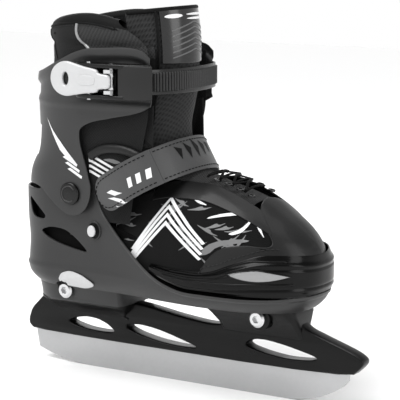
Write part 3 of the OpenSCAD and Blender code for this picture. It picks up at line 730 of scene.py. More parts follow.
def toe_piece():
    a0, a1 = math.radians(2), math.radians(178)
    grid = toe_grid(seam_x, lambda a: CAP_END + 0 * a, a0, a1, 60, 120, crowd=True)
    cap = grid_mesh("toe_cap_skin", grid, TOE)
    finish_mesh(cap, thickness=2.4, bevel=0.5)
    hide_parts("toe_cap")
    settle("toe_leather", "toe_piece", cap)
    for side, name in SIDES:
        lo, hi = (a0, math.radians(64)) if side < 0 else (math.radians(116), a1)
        grid = toe_grid(lambda a: -44 + 0 * a, lambda a: seam_x(a) + 3.0, lo, hi, 70, 60, d=0.9)
        skin = grid_mesh(f"vamp_{name}_skin", grid, FINE_FABRIC)
        finish_mesh(skin, thickness=2.0, bevel=0.4)
        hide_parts(f"vamp_{name}")
        settle("liner_fabric", "toe_piece", skin)
        lo, hi = (math.radians(50), math.radians(70)) if side < 0 else (math.radians(110),
                math.radians(130))
        grid = toe_grid(lambda a: -14 + 0 * a, lambda a: seam_x(a) + 2.0, lo, hi, 60, 14, d=0.2)
        stay = grid_mesh(f"eyestay_{name}_skin", grid, TOE)
        finish_mesh(stay, thickness=2.6, bevel=0.7)
        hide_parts(f"eyestay_{name}")
        settle("toe_leather", "toe_piece", stay)
    # seam and stitching round the toe cap
    for side, name in SIDES:
        a = np.linspace(math.radians(10), math.pi / 2, 70)
        if side > 0:
            a = math.pi - a
        line = toe_section(seam_x(a), a, -0.3)
        normal = unit(np.stack([0.35 + 0 * a, -np.cos(a), np.sin(a)], 1))
        bead = tube(f"toe_seam_{name}", line, 0.7, TOE, normal=normal)
        inner = toe_section(seam_x(a) + 2.4, a, -0.25)
        thread = stitches(f"toe_stitch_{name}", inner, normal, DARK_THREAD)
        settle("toe_leather", "toe_piece", bead, thread)
    return Surface(cap)


rand_top = smooth_curve((-20, 93.5), (14, 92), (34, 92.5), (47, 95), (63, 101.5), (84, 107.5), (100, 107),
                        (112, 104.5))


def rand_half(x, d):
    x = np.asarray(x, float)
    side = foot_half(np.minimum(x - 3, TOE_X - 62)) + 0.6 - d
    return np.maximum(0, side * round_end(TOE_X + 3 - d - x, 64, 2.35))


def rand_plan(d):
    k = np.linspace(0, 1, 111)
    x = mix(-8.0, TOE_X + 3 - d, np.sin(k * math.pi / 2))
    y = rand_half(x, d)
    lateral = np.stack([x, -y], 1)
    return np.concatenate([lateral, lateral[::-1][1:] * [1, -1]])


def rand():
    rows = []
    for v in np.linspace(0, 1, 40):
        # profile from the lower edge: bulge, groove, upper ridge, then in to the toe cap
        d = 1.4 * (1 - np.sin(min(v * 3.2, 1) * math.pi / 2)) + 5.0 * max(0, v - 0.62) ** 1.3 * 2.2
        d -= 0.8 * float(bump_at(v, 0.78, 0.05)) + 0.5 * float(bump_at(v, 0.12, 0.05))
        d += 0.5 * float(bump_at(v, 0.68, 0.03)) + 0.4 * float(bump_at(v, 0.2, 0.025))
        plan = rand_plan(d)
        low = np.maximum(rim_at(plan[:, 0]) + 1.2, RIM_Z + 1.0)
        z = mix(low, rand_top(plan[:, 0]), v)
        rows.append(np.concatenate([plan, z[:, None]], 1))
    obj = grid_mesh("toe_rand_skin", np.array(rows), RUBBER)
    finish_mesh(obj, thickness=2.2, bevel=0.5)
    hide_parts("toe_rand")
    settle("rand_rubber", "toe_piece", obj)
    surface = Surface(obj)
    eye = [(x, 93.5 + s * 3.9 * max(0, math.sin(math.pi * (x - 57) / 42)) ** 0.8)
           for s, run in ((1, range(57, 100, 2)), (-1, range(97, 57, -2))) for x in run]
    for side, name in SIDES:
        insert = decal(f"insert_{name}", surface, [eye], side, SILVER, lift=0.5)
        finish_mesh(insert)
        edge, nor = surface.lay(*side_points(np.array(eye + eye[:1]), side), 0.4)
        border = tube(f"insert_edge_{name}", edge, 0.55, RUBBER, normal=nor)
        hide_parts(f"rand_insert_{name}")
        settle("badge_plastic", "toe_piece", insert)
        settle("rand_rubber", "toe_piece", border)
    for side, name in SIDES:
        for k, line in enumerate(([(10, 90.5), (30, 90.5), (44, 93), (60, 99), (78, 103.5), (96, 103.5)],
                                  [(4, 87), (24, 85.5), (50, 86), (76, 87.5), (100, 88)])):
            ridge = piping(f"rand_ridge_{k}_{name}", surface, line, side, 0.9, RUBBER, lift=0.0)
            settle("rand_rubber", "toe_piece", ridge)


# ---- tongue and laces
TONGUE_LINE = [(62, 139), (44, 145), (28, 149), (13, 155), (1, 168), (-3, 185), (0, 203), (3.2, 220),
               (3.2, 236),
               (2.6, 250), (1.6, 261), (0, 271)]


TONGUE_LIMIT = 274.5


def tongue_point(t, a, d=0.0):
    """t runs 0 at the toe end to 1 at the top; a is the turn round the shin, 0 in the middle."""
    line = path_through(TONGUE_LINE, 161)
    idx = np.clip(np.asarray(t) * 160, 0, 160)
    x = np.interp(idx, np.arange(161), line[:, 0])
    z = np.interp(idx, np.arange(161), line[:, 1])
    step = np.gradient(line, axis=0)
    step /= np.linalg.norm(step, axis=1)[:, None]
    tx = np.interp(idx, np.arange(161), step[:, 0])
    tz = np.interp(idx, np.arange(161), step[:, 1])
    level = ramp(0.3, 0.5, t)
    nx, nz = mix(tz, 1.0, level), mix(-tx, 0.0, level)
    wide = mix(17.0, 33.0, ramp(0.25, 0.5, t))
    deep = mix(5.0, 46.0, ramp(0.25, 0.5, t))
    back = deep * (1 - np.cos(a)) + d
    return np.stack([x - nx * back, (wide - d * 0.6) * np.sin(a) / 0.96,
                     z - nz * back - 5 * ramp(0.8, 1, t) * (1 - np.cos(a))], -1)


def tongue():
    t = np.linspace(0.0, 1.0, 110)
    a = np.linspace(-1.28, 1.28, 64)
    tt, aa = np.meshgrid(t, a, indexing="ij")
    puff = -0.8 * np.cos(aa * 2.2) ** 2 * ramp(0.5, 0.6, tt)
    grid = tongue_point(tt, aa, puff)
    obj = grid_mesh("tongue_skin", grid, MESH_FABRIC)
    finish_mesh(obj, thickness=6.0, bevel=2.4, segments=4)
    reshape(obj, lambda co: np.minimum(co, [9, 9, TONGUE_LIMIT * MM]))
    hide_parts("tongue")
    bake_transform(obj)


def tongue_label():
    """A shiny moulded label with plain slanted bars, on the front of the tongue."""
    t = np.linspace(0.77, 0.99, 40)
    a = np.linspace(-0.74, 0.74, 60)
    tt, aa = np.meshgrid(t, a, indexing="ij")
    obj = grid_mesh("tongue_label_skin", tongue_point(tt, aa, -1.7), LABEL)
    finish_mesh(obj, thickness=1.2, bevel=0.5)
    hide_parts("tongue_label")
    settle("badge_plastic", "ankle_cuff", obj)
    made = []
    for edge, name in ((-0.8, "lateral"), (0.8, "medial")):
        line = tongue_point(np.linspace(0.6, 0.99, 50), np.full(50, edge), -1.6)
        made.append(tube(f"label_piping_{name}", line, 0.8, BINDING, normal=(1.0, 0, 0.1)))
    for k in range(6):
        aa = np.linspace(-0.55, 0.55, 30)
        rise = 0.79 + 0.022 * k + 0.035 * (1 - np.abs(aa) / 0.55)
        strip = tongue_point(np.stack([rise, rise + 0.006]), np.stack([aa, aa]), -1.95)
        bar = grid_mesh(f"label_bar_{k}", strip, PALE_LINE)
        finish_mesh(bar, thickness=0.2)
        made.append(bar)
    marks = ((-0.66, -0.3, 0.955, 0.972), (-0.2, 0.5, 0.945, 0.955), (-0.2, 0.5, 0.962, 0.972))
    for k, (a0, a1, t0, t1) in enumerate(marks):
        aa = np.linspace(a0, a1, 20)
        swell = np.sin(np.linspace(0.02, math.pi - 0.02, 20)) ** 0.5 * (t1 - t0) / 2
        strip = np.stack([(t0 + t1) / 2 - swell, (t0 + t1) / 2 + swell])
        bar = grid_mesh(f"label_mark_{k}", tongue_point(strip, np.stack([aa, aa]), -1.95), WHITE)
        finish_mesh(bar, thickness=0.2)
        made.append(bar)
    rim = tongue_point(np.full(60, 0.992), np.linspace(-1.25, 1.25, 60), -0.6)
    made.append(tube("tongue_top_binding", rim, 1.7, BINDING, normal=(1.0, 0, 0), flatten=0.8))
    settle("badge_plastic", "ankle_cuff", *made)


def laces():
    """Crossed rows of flat lace over the throat."""
    made = []
    rows = [(x, 13.0, float(toe_top(x)) + 1.6) for x in (24, 34, 44, 54)]
    for k, (x, y, z) in enumerate(rows):
        bar = [(x - 1, -y, z - 1.2), (x, -y + 3, z + 0.3), (x + 0.6, 0, z + 1.4), (x, y - 3, z + 0.3),
               (x - 1, y, z - 1.2)]
        made.append(tube(f"lace_bar_{k}", path_through(bar, 40), 1.0, LACE, flatten=0.6,
                         normal=(0.35, 0, 0.94)))
        if k < len(rows) - 1:
            x2, y2, z2 = rows[k + 1]
            for s in (-1, 1):
                cross = [(x, s * y, z), ((x + x2) / 2, 0, (z + z2) / 2 + 2.2 + 0.5 * s), (x2, -s * y2, z2)]
                made.append(tube(f"lace_cross_{k}_{'lm'[s > 0]}", path_through(cross, 40), 1.0, LACE,
                                 flatten=0.6,
                                 normal=(0.35, 0, 0.94)))
    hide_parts("laces")
    settle("lace_cord", "toe_piece", *made)


# ---- padded lining
collar_front = smooth_curve((100, -30), (150, -22), (180, -14), (200, -10), (238, -10), (243, -12),
                            (249, -18),
                            (255, -28), (261, -36), (270, -40))
pipe_x = smooth_curve((232, -50), (236, -54), (241, -60), (246, -66), (252, -69.5), (258, -70))
collar_rim = smooth_curve((-118, 257), (-108, 260), (-90, 263.5), (-66, 265.5), (-50, 264.3), (-36, 261.5))


def lining():
    rows = []
    profile = [("out", v) for v in np.linspace(0, 1, 60)]
    profile += [("over", v) for v in np.linspace(0, 1, 12)[1:]]
    profile += [("in", v) for v in np.linspace(0, 1, 40)[1:]]
    for part, v in profile:
        s = np.sin(np.linspace(0, 1, 73) * math.pi / 2)
        rim = collar_rim(mix(-36.0, -116.0, s))
        if part == "out":
            z, d = mix(118.0, rim - 4.5, v), 0.0
        elif part == "over":
            z = rim - 4.5 + 4.5 * math.sin(v * math.pi)
            d = 4.5 * (1 - math.cos(v * math.pi))
        else:
            z, d = mix(rim - 4.5, 150.0, v), 9.0
        puff = 1.7 * bump_at(z, 250, 7) - 1.2 * bump_at(z, 243.5, 2.0)
        back = mix(-116.0, -109.5, ramp(195, 232, z)) + d - puff
        front = collar_front(z)
        x = mix(front, back, s)
        w = mix(35.6, 37.6, ramp(150, 200, z)) - d + puff
        y = w * round_end(x - back, 50, 2.2) * (1 - 0.1 * ramp(-40, -10, x) * ramp(235, 255, z))
        lateral = np.stack([x, -y, z], 1)
        rows.append(np.concatenate([lateral, lateral[::-1][1:] * [1, -1, 1]]))
    obj = grid_mesh("lining_skin", np.array(rows), FABRIC)
    obj.data.materials.append(BINDING)
    obj.data.materials.append(SIDE_MESH)
    for f in obj.data.polygons:
        c = f.center / MM
        if c.z > float(collar_rim(c.x)) - 6.5:
            f.material_index = 1
        elif c.z > 236 and c.x > pipe_x(c.z) and abs(c.y) > 14:
            f.material_index = 2
    finish_mesh(obj, bevel=0)
    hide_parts("liner_collar")
    surface = Surface(obj)
    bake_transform(obj)
    # seams on the collar: the rim's welt, the heel tab and the side panel's piping
    made = []
    for side, name in SIDES:
        welt = [(x, float(collar_rim(x)) - 6.8) for x in np.linspace(-112, -37, 30)]
        made.append(piping(f"collar_welt_{name}", surface, welt, side, 0.8, BINDING, n=90))
        tab = [(-104, 252), (-101, 246), (-97, 240), (-93, 232)]
        made.append(piping(f"heel_tab_seam_{name}", surface, tab, side, 0.55, THREAD))
        pipe = [(float(pipe_x(z)), z) for z in (258, 254, 250, 246, 242, 238, 234)]
        made.append(piping(f"collar_piping_{name}", surface, pipe, side, 1.1, SILVER))
        for what, line in (("rim", [(x, float(collar_rim(x)) - 8.6) for x in np.linspace(-108, -40, 30)]),
                           ("tab", [(x + 1.6, z) for x, z in tab]), ("panel",
                                   [(x + 2.2, z) for x, z in pipe])):
            pts, d = side_points(path_through(line, 80), side)
            made.append(stitches(f"collar_stitch_{what}_{name}", *surface.lay(pts, d, 0.15), DARK_THREAD))
    settle("liner_fabric", "ankle_cuff", *made)


def liner_gusset():
    """Padded half-moon trim and the soft ankle panels between cuff and toe piece."""
    for side, name in SIDES:
        rows = []
        for v in np.linspace(0, 1, 30):
            top = path_through([(-64, 188), (-40, 196), (-20, 201), (-9, 203)], 50)
            low = path_through([(-60, 138), (-40, 142), (-20, 146), (-9, 148)], 50)
            p = mix(low, top, v)
            y = mix(37.4, 35.5, v) - 2.5 * ramp(-22, -9, p[:, 0])
            rows.append(np.stack([p[:, 0], side * np.maximum(y, 2), p[:, 1]], 1))
        panel = grid_mesh(f"ankle_panel_{name}", np.array(rows), FABRIC)
        if side > 0:
            flip_normals(panel)
        finish_mesh(panel, thickness=3.0, bevel=0.8)
        surface = Surface(panel)
        trim = [(-60, 165), (-50, 170), (-36, 171.5), (-22, 169), (-10, 162)]
        roll = piping(f"half_moon_trim_{name}", surface, trim, side, 3.6, TOE, n=60, flatten=0.7, lift=1.2)
        seam = piping(f"ankle_seam_{name}", surface, [(-38, 193), (-24, 184), (-9, 174)], side, 0.8,
                      BINDING)
        lines = [[(-62, z + 16), (-22, z), (-22, z - 1.9), (-62, z + 14.1)]
                 for z in (151, 147.2, 143.4, 139.6)]
        shoots = [[(-50, 163), (-42, 164.2), (-33, 162), (-38, 160.4), (-44, 161.6)],
                  [(-36, 158.5), (-28, 160.5), (-17, 157.5), (-25, 156.2), (-31, 157.4)]]
        bars = decal(f"ankle_stripes_{name}", surface, lines, side, WHITE, lift=0.3)
        leaves = decal(f"ankle_thorns_{name}", surface, [rounded(a, 1) for a in shoots], side, PALE,
                       lift=0.2)
        for o in (panel, roll, seam, bars, leaves):
            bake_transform(o)


def inner_boot():
    """Foot part of the lining with the footbed, seen down the collar."""
    plan = plan_stations(80, 3.9)
    rows = []
    for v in np.linspace(0, 1, 24):
        top = smooth_curve((-140, 132), (-110, 132), (-96, 128), (-60, 120), (-34, 112),
                           (100, 84))(plan[:, 0])
        z = mix(78, top, v)
        rows.append(np.concatenate([plan * [0.985, 0.985], z[:, None]], 1))
    obj = grid_mesh("inner_boot_skin", np.array(rows), INNER, closed=True)
    with editing(obj) as bm:
        drop = [f for f in bm.faces if f.calc_center_median().x > -0.012]
        bmesh.ops.delete(bm, geom=drop, context="FACES")
    finish_mesh(obj, thickness=4.0, bevel=1.0)
    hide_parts("liner_boot")
    settle("liner_fabric", "boot", obj)


# ---- instep strap
def strap_plan():
    lead = [(24, -40.6), (32, -42.2), (40, -44), (48, -45.4)]
    arc = [(55 + 34 * math.cos(a), 46 * math.sin(a)) for a in np.radians(np.arange(-90, 91, 7.5))]
    return np.array(lead + arc + [(48, 45.4), (40, 44), (32, 42.8)])


def untilt(u, y, w):
    c, s = math.cos(STRAP_TILT), math.sin(STRAP_TILT)
    return np.stack([c * u - s * w, y + 0 * u, s * u + c * w], -1)


def strap_skin(first, last, tip, off=1.2, inset=0.0, n=120, m=20):
    """A run of the strap between two lengths along it; tip rounds its free end."""
    plan = path_through(strap_plan(), 400)
    at = mix(first, last, 1 - np.cos(np.linspace(0, 1, n) * math.pi / 2)) if tip else np.linspace(first,
            last, n)
    c = sample(at, lengths(plan), plan)
    t = unit(np.gradient(c, axis=0))
    normal = np.stack([t[:, 1], -t[:, 0]], 1)
    half = STRAP_W / 2 - inset
    if tip:
        r = STRAP_W / 2
        half = half * np.sqrt(np.maximum(0.0004, 1 - np.clip((r - (at - first)) / r, 0, 1) ** 2.4))
    q = c + normal * off
    middle = STRAP_LOW + STRAP_W / 2
    return np.array([untilt(q[:, 0], q[:, 1], middle + v * half) for v in np.linspace(-1, 1, m)])


def straps():
    total = lengths(path_through(strap_plan(), 400))[-1]
    split = 56.0
    fixed = grid_mesh("instep_strap_skin", strap_skin(split + 0.1, total, False), STRAP)
    finish_mesh(fixed, thickness=2.4, bevel=0.7)
    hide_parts("instep_strap")
    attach(fixed, "boot")
    free = grid_mesh("strap_end_skin", strap_skin(0.5, split, True), STRAP)
    finish_mesh(free, thickness=2.4, bevel=0.7)
    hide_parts("strap_end")
    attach(free, "strap_free_end")
    # stitching along the edges of both parts
    across = [-math.sin(STRAP_TILT), 0, math.cos(STRAP_TILT)]
    for name, a, b, body, tip in (("fixed", split + 0.4, total, "boot", False),
                                  ("free", 0.5, split, "strap_free_end", True)):
        outer = strap_skin(a, b, tip, off=1.45, inset=2.6, n=160, m=3)
        for k, edge in ((0, "low"), (2, "high")):
            line = outer[k]
            nor = unit(np.cross(np.gradient(line, axis=0), across))
            thread = stitches(f"strap_stitch_{name}_{edge}", line, nor, THREAD)
            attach(thread, body)
    # printed thorns near the free end and dark slashes over the instep
    lateral = Surface(free)
    thorns = [[(-41, 141), (-33, 139.6), (-26, 142.4), (-30, 142.6), (-36, 143.6)],
              [(-40, 137), (-30, 135.6), (-20, 134), (-27, 138), (-34, 138.4)],
              [(-33, 132.6), (-26, 129), (-16, 130), (-24, 131.6)]]
    marks = decal("strap_thorns", lateral, thorns, -1, WHITE)
    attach(marks, "strap_free_end")
    front = Surface(fixed)
    bars = [[(-20 + 6 * k, 146.4 + 3.2 * k), (-17 + 6 * k, 148 + 3.2 * k), (-19 + 6 * k, 154.5 + 3.2 * k),
             (-22 + 6 * k, 152.9 + 3.2 * k)] for k in range(3)]
    generic = decal("strap_bars", lateral, bars, -1, WHITE)
    settle("strap_leather", "strap_free_end", generic)

    slashes = [[(-30 + 9 * k, 178 - 2.2 * abs(3 - k)), (-24 + 9 * k, 172), (-27 + 9 * k, 165),
                (-29 + 9 * k, 171)]
               for k in range(1, 6)]
    zebra = decal("strap_slashes", front, slashes, -1, DARK_PRINT_AND_SHADE, cast=front_points)
    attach(zebra, "boot")


# ---- buckle and ladder
def ladder_line(d, n=220):
    """The ladder's centre line in plan, moved out by d."""
    a = np.radians(np.arange(-90, 0, 3.0))
    b = np.radians(np.arange(0, 91, 3.0))
    pts = [(x, -46 - d) for x in np.arange(-57, -12.5, 3.0)]
    pts += [(-12 + (17.4 + d) * math.cos(q), (46 + d) * math.sin(q)) for q in a]
    pts += [(-10 + (15.4 + d) * math.cos(q), (43.9 + d) * math.sin(q)) for q in b]
    pts += [(x, 43.9 + d) for x in np.arange(-18, -50.5, -4.0)]
    return path_through(pts, n)


def ladder():
    outer = ladder_line(0.4)
    rows = []
    for z in np.linspace(-LADDER_W / 2, LADDER_W / 2, 8):
        rows.append(np.concatenate([outer, np.full((len(outer), 1), BUCKLE_Z + z)], 1))
    base = grid_mesh("ladder_base", np.array(rows), BLACK_PLASTIC)
    finish_mesh(base, thickness=1.8, bevel=0.5)
    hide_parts("ladder_strap")
    # raised raked ribs over the whole toothed run
    pitch = 2.5
    fine = ladder_line(0.4, 1200)
    along = lengths(fine)
    verts, faces = [], []
    section = [(-0.85, -0.3), (-0.75, 0.6), (0.25, 1.25), (0.6, 1.1), (0.8, -0.3)]
    for k in range(int((along[-1] - 40) / pitch)):
        mid = 1 + k * pitch
        q = sample([mid - 0.5, mid, mid + 0.5], along, fine)
        t = unit(q[2] - q[0])
        nor = np.array([t[1], -t[0]])
        b = len(verts)
        for z, shrink in ((-6.6, 0.5), (-6.1, 1.0), (6.1, 1.0), (6.6, 0.5)):
            for along_t, h in section:
                p = q[1] + t * along_t + nor * (h if h < 0 else h * shrink)
                verts.append((p[0], p[1], BUCKLE_Z + z))
        faces += [tuple(b + v for v in f) for f in band_faces(len(section), 4)]
    ribs = add_mesh("ladder_ribs", verts, faces, LADDER)
    finish_mesh(ribs)
    settle("ladder_plastic", "ladder", base, ribs)


def buckle():
    c = BUCKLE_Z + 1
    ring = [(-66 + 13.4 * math.cos(q), c + 12.2 * math.sin(q)) for q in np.radians(np.arange(76, 285, 8))]
    ring += [(-50, c - 9.6), (-40, c - 8.6), (-39, c - 6.2), (-29, c - 5.6), (-29, c + 4.0), (-39, c + 4.6),
             (-40, c + 7.4), (-50, c + 8.8)]
    thumb = oval(-66.5, c, 2.6, 4.6, 12)
    plate = slab("lever_plate", rounded(ring, 2), -57.4, -54.4, 1.2, LEVER, holes=[thumb])
    dish = slab("lever_dish", rounded(thumb, 1), -55.2, -54.6, 0.2, BLACK_PLASTIC)
    raised = rounded([(-56, c - 4.2), (-41, c - 3.6), (-41, c + 2.8), (-56, c + 3.4)], 2)
    bridge = slab("lever_bridge", raised, -57.8, -57.0, 0.35, LEVER)
    made = [plate, dish, bridge]
    for s in (-1, 1):
        z = BUCKLE_Z + s * 7.2
        hinge = cylinder_y(f"lever_ear_{'lh'[s > 0]}", 0, 0, 3.1, -1.3, 1.3, BLACK_PLASTIC, bevel=0.4)
        reshape(hinge, lambda co: co[:, [0, 2, 1]] + np.array([-31, -51.5, z]) * MM)
        made.append(hinge)
        bar = [(-34, z - 1.2), (-28.6, z - 1.2), (-28.6, z + 1.2), (-34, z + 1.2)]
        arm = slab(f"lever_arm_{'lh'[s > 0]}", bar, -57, -51.4, 0.3, LEVER)
        made.append(arm)
    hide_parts("lever")
    settle("lever_metal", "buckle_lever", *made)
    # base with its two side walls, back plate and the hood over the strap's mouth
    made = []
    for s, name in ((-1, "low"), (1, "high")):
        z0 = BUCKLE_Z + s * (LADDER_W / 2 + 0.5)
        z1 = z0 + s * 3.0
        wall = [(-63, -43), (-63.5, -49), (-58, -54.6), (-40, -55.6), (-26, -55), (-13, -52.6),
                (-2.6, -49.2), (-2.6, -43)]
        side = slab(f"base_wall_{name}", rounded(wall, 2), min(z0, z1), max(z0, z1), 0.7, BLACK_PLASTIC)
        made.append(lay_flat(side))
    plate = rounded([(-64, c - 11), (-3, c - 10.6), (-3, c + 9), (-64, c + 9.4)], 2)
    made.append(slab("base_plate", plate, -44.4, -42.3, 0.6, BLACK_PLASTIC))
    hood = [(-24, -53.9), (-18, -53.8), (-11, -52.8), (-4, -51), (0.8, -49.4), (0.4, -48.4), (-4, -48.8),
            (-11, -50.4),
            (-24, -50.8)]
    cover = slab("strap_hood", hood, BUCKLE_Z - 11.6, BUCKLE_Z + 11.6, 0.55, BUCKLE_COVER)
    made.append(lay_flat(cover))
    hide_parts("buckle_base")
    settle("buckle_plastic", "ankle_cuff", *made)


# ---- chassis
def holder():
    outline = [(-136, BLADE_H), (-142, 26), (-142, 31), (-139, 39), (-131, 47), (-124, 54), (-45, 54),
               (-34, 53), (-7, 49),
               (18, 46.6), (31, 47.6), (27, 54), (18, 65), (94, 65), (93, 57), (98, 52), (110, 48), (135,
                       40), (141.6, 36),
               (141.6, 32), (131, BLADE_H)]
    heel_slot = [(-105, 33), (-97, 36.5), (-88, 38), (-78, 37.5), (-69, 34.5), (-62, 29.5), (-74, 28.5),
                 (-88, 29), (-99, 31)]
    mid_slot = [(-52, 36.5), (-40, 38), (-26, 36.5), (-12, 33.5), (12, 27), (-8, 26.6), (-26, 28),
                (-42, 31), (-51, 34)]
    toe_slot = [(49, 36), (56, 40), (66, 40.5), (82, 38.5), (108, 33), (100, 30.4), (82, 29.4), (66, 31),
                (53, 33.6)]
    web = slab("holder_web", rounded(outline, 2), -WEB_T / 2, WEB_T / 2, 1.6, HOLDER,
               holes=[rounded(h, 2) for h in (heel_slot, mid_slot, toe_slot)])
    made = [web]

    def foot(name, sections):
        rows = []
        for z, x0, x1, w, r in sections:
            ring = []
            for cx, cy, a0 in ((x1 - r, w - r, 0), (x0 + r, w - r, 90), (x0 + r, -w + r, 180),
                               (x1 - r, -w + r, 270)):
                for a in np.radians(np.linspace(a0, a0 + 90, 9)):
                    ring.append((cx + r * math.cos(a), cy + r * math.sin(a), z))
            rows.append(ring)
        return finish_mesh(closed_mesh(name, rows, HOLDER), bevel=0.6)
    # each section: height, rear end, front end, half width, corner radius
    heel_foot = [(41, -112, -52, 5.5, 3), (45, -117, -50, 8, 5), (49, -121, -47, 15, 10),
                 (52, -123.5, -45, 22, 18), (53.9, -124.5, -44, 24.6, 21)]
    toe_foot = [(44, 30, 96, 5.5, 3), (50, 28, 95, 8, 4), (57, 24, 94.5, 14, 6), (62, 20, 94, 18, 7),
                (65.8, 16, 93, 19.4, 8)]
    made += [foot("holder_heel_foot", heel_foot), foot("holder_toe_foot", toe_foot)]
    made.append(cylinder_y("toe_bolt_boss", *TOE_BOLT, 8.6, -19.2, 19.2, HOLDER, bevel=0.8))
    groove = [(-112, 42.5), (-96, 43.4), (-78, 44), (-62, 43.6), (-50, 41)]
    surface = Surface(web)
    for side, name in SIDES:
        made.append(piping(f"holder_rib_{name}", surface, groove, side, 0.8, HOLDER, lift=0.1))
    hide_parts("blade_holder")
    settle("holder_plastic", "boot", *made)


def blade():
    toe_turn, heel_turn = np.radians(np.arange(0, 38, 2)), np.radians(np.arange(20, -1, -2))
    toe_arc = [(80 + 76 * math.sin(a), 76 * (1 - math.cos(a))) for a in toe_turn]
    heel_arc = [(-85 - 145 * math.sin(a), 145 * (1 - math.cos(a))) for a in heel_turn]
    outline = heel_arc + toe_arc + [(128.6, 19), (129, BLADE_H + 3), (-136, BLADE_H + 3), (-137, BLADE_H)]
    obj = slab("blade_skin", outline, -BLADE_T / 2, BLADE_T / 2, 0.25, STEEL)
    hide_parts("blade")
    settle("blade_steel", "boot", obj)


# ---- badges, button, pivot and marks
def rand_seam(cap_surface):
    """The stitched edge where leather and fabric go down behind the rand."""
    for side, name in SIDES:
        line = [(x, float(rand_top(x)) + 3.2) for x in np.linspace(2, 92, 40)]
        pts, d = side_points(path_through(line, 120), side)
        o = stitches(f"rand_stitch_{name}", *cap_surface.lay(pts, d, 0.5), DARK_THREAD)
        settle("toe_leather", "toe_piece", o)


def trims(shell_surface, cuff_surface, vamp_surface):
    leaf = rounded([(-91, 72), (-87, 77.5), (-79, 80), (-69, 77.5), (-58, 71), (-68, 67.5), (-78, 68),
                    (-87, 68.5)], 2)
    for side, name in SIDES:
        badge = decal(f"badge_{name}_skin", shell_surface, [leaf], side, LEVER, lift=0.7)
        finish_mesh(badge, thickness=0.6)
        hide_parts(f"badge_{name}")
        settle("badge_plastic", "boot", badge)
        disc = cylinder_y(f"pivot_cap_{name}", PIVOT[0] + 2, PIVOT[1], 8.2, 40.3, 43.4, BLACK_PLASTIC,
                          bevel=1.0, sides=64)
        arc = [(PIVOT[0] + 2 + 5.6 * math.cos(q), 43.4, PIVOT[1] + 5.6 * math.sin(q))
               for q in np.linspace(0.6, 5.4, 60)]
        ring = tube(f"pivot_ring_{name}", arc, 0.5, CUFF, normal=(0, 1.0, 0))
        for o in (disc, ring):
            if side < 0:
                reshape(o, lambda co: co * [1, -1, 1])
                o.data.flip_normals()
            settle("dark_metal", "boot", o)
        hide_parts(f"pivot_rivet_{name}")
    # size button in its oval recess; the recess is not cut, and a flat dark patch paints its shade
    outline = oval(*BUTTON, 5.2, 6.4)
    painted_recess_shade = decal("button_recess_painted_shade", shell_surface, [outline], -1, DARK_PRINT_AND_SHADE, lift=0.15)
    rim, nor = shell_surface.lay(*side_points(outline + outline[:1], -1), 0.3)
    lip = tube("button_lip", rim, 0.7, SHELL, normal=nor)
    cap = slab("size_button_cap", oval(*BUTTON, 3.4, 4.2), -40.4, -38.7, 0.7, LEVER)
    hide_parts("size_button")
    settle("lever_metal", "size_push_button", cap)
    settle("shell_plastic", "boot", painted_recess_shade, lip)
    # white wedge and bars on the cuff's rear quarter
    wedge = [[(-98, 190), (-91, 181.5), (-83, 174), (-75, 165.5), (-68, 158), (-76, 161.5), (-83.5, 168),
              (-91, 179)]]
    wedge += [[(x, z), (x + 12, z - 6.4), (x + 12.8, z - 4.6), (x + 2.5, z + 0.9)] for x, z in
              ((-81, 163.2), (-79, 159), (-77, 154.8))]
    marks = decal("cuff_marks", cuff_surface, wedge, -1, WHITE)
    settle("shell_plastic", "ankle_cuff", marks)
    # stripes and thorns on the fabric side
    stripes = []
    for k in range(4):
        drop = 4.0 * k
        left, peak, right = (-27 - 0.2 * drop, 101 - 0.9 * drop), (3, 140 - 1.35 * drop), (38 - 0.2 * drop,
                112 - 0.9 * drop)
        stripes.append([left, peak, right, (right[0] - 2.2, right[1] - 1.2), (peak[0], peak[1] - 3.0),
                        (left[0] + 2.4, left[1] - 0.6)])
    rng = np.random.default_rng(5)
    thorns = []
    for _ in range(44):
        x, z, turn, size = rng.uniform(-36, 72), rng.uniform(98, 146), rng.uniform(-0.8,
                1.0), rng.uniform(6, 13)
        if z > float(toe_top(x)) - 16 or (x > 40 and z < 108):
            continue
        shape = [(-size, 0), (-size * 0.3, 0.9), (size * 0.2, 2.4), (size * 0.4, 0.9), (size, 1.6),
                 (size * 0.3, -0.6)]
        thorns.append([(x + p * math.cos(turn) - q * math.sin(turn),
                        z + p * math.sin(turn) + q * math.cos(turn))
                       for p, q in shape])
    bright = [[(36, 128), (48, 130.4), (60, 132), (71, 132), (59, 133.8), (47, 132.2), (38, 129.6)],
              [(54, 119.5), (62, 123), (67.5, 130), (66.6, 125.6), (63.4, 121), (58, 119)],
              [(69, 129), (72, 124), (78.5, 117), (74.6, 123), (71.5, 127.4)],
              [(20, 140.5), (27, 137.4), (35, 136.4), (28, 139)]]
    thorns.append([(33, 103), (39, 111), (49, 115), (63, 117), (71, 116), (59, 113.4), (47, 110.5),
                   (41, 105)])
    for side, name in SIDES:
        for what, shapes, mat, lift in (("stripes", stripes, WHITE, 0.4), ("thorns", thorns, PALE, 0.2),
                                          ("branches", bright, WHITE, 0.5)):
            outlines = [a for a in shapes if side < 0 or what == "stripes" or max(z for _, z in a) < 126]
            if not outlines:
                continue
            if what != "stripes":
                outlines = [rounded(a, 1) for a in outlines]
            o = decal(f"vamp_{what}_{name}", vamp_surface[side], outlines, side, mat, lift=lift)
            settle("liner_fabric", "toe_piece", o)


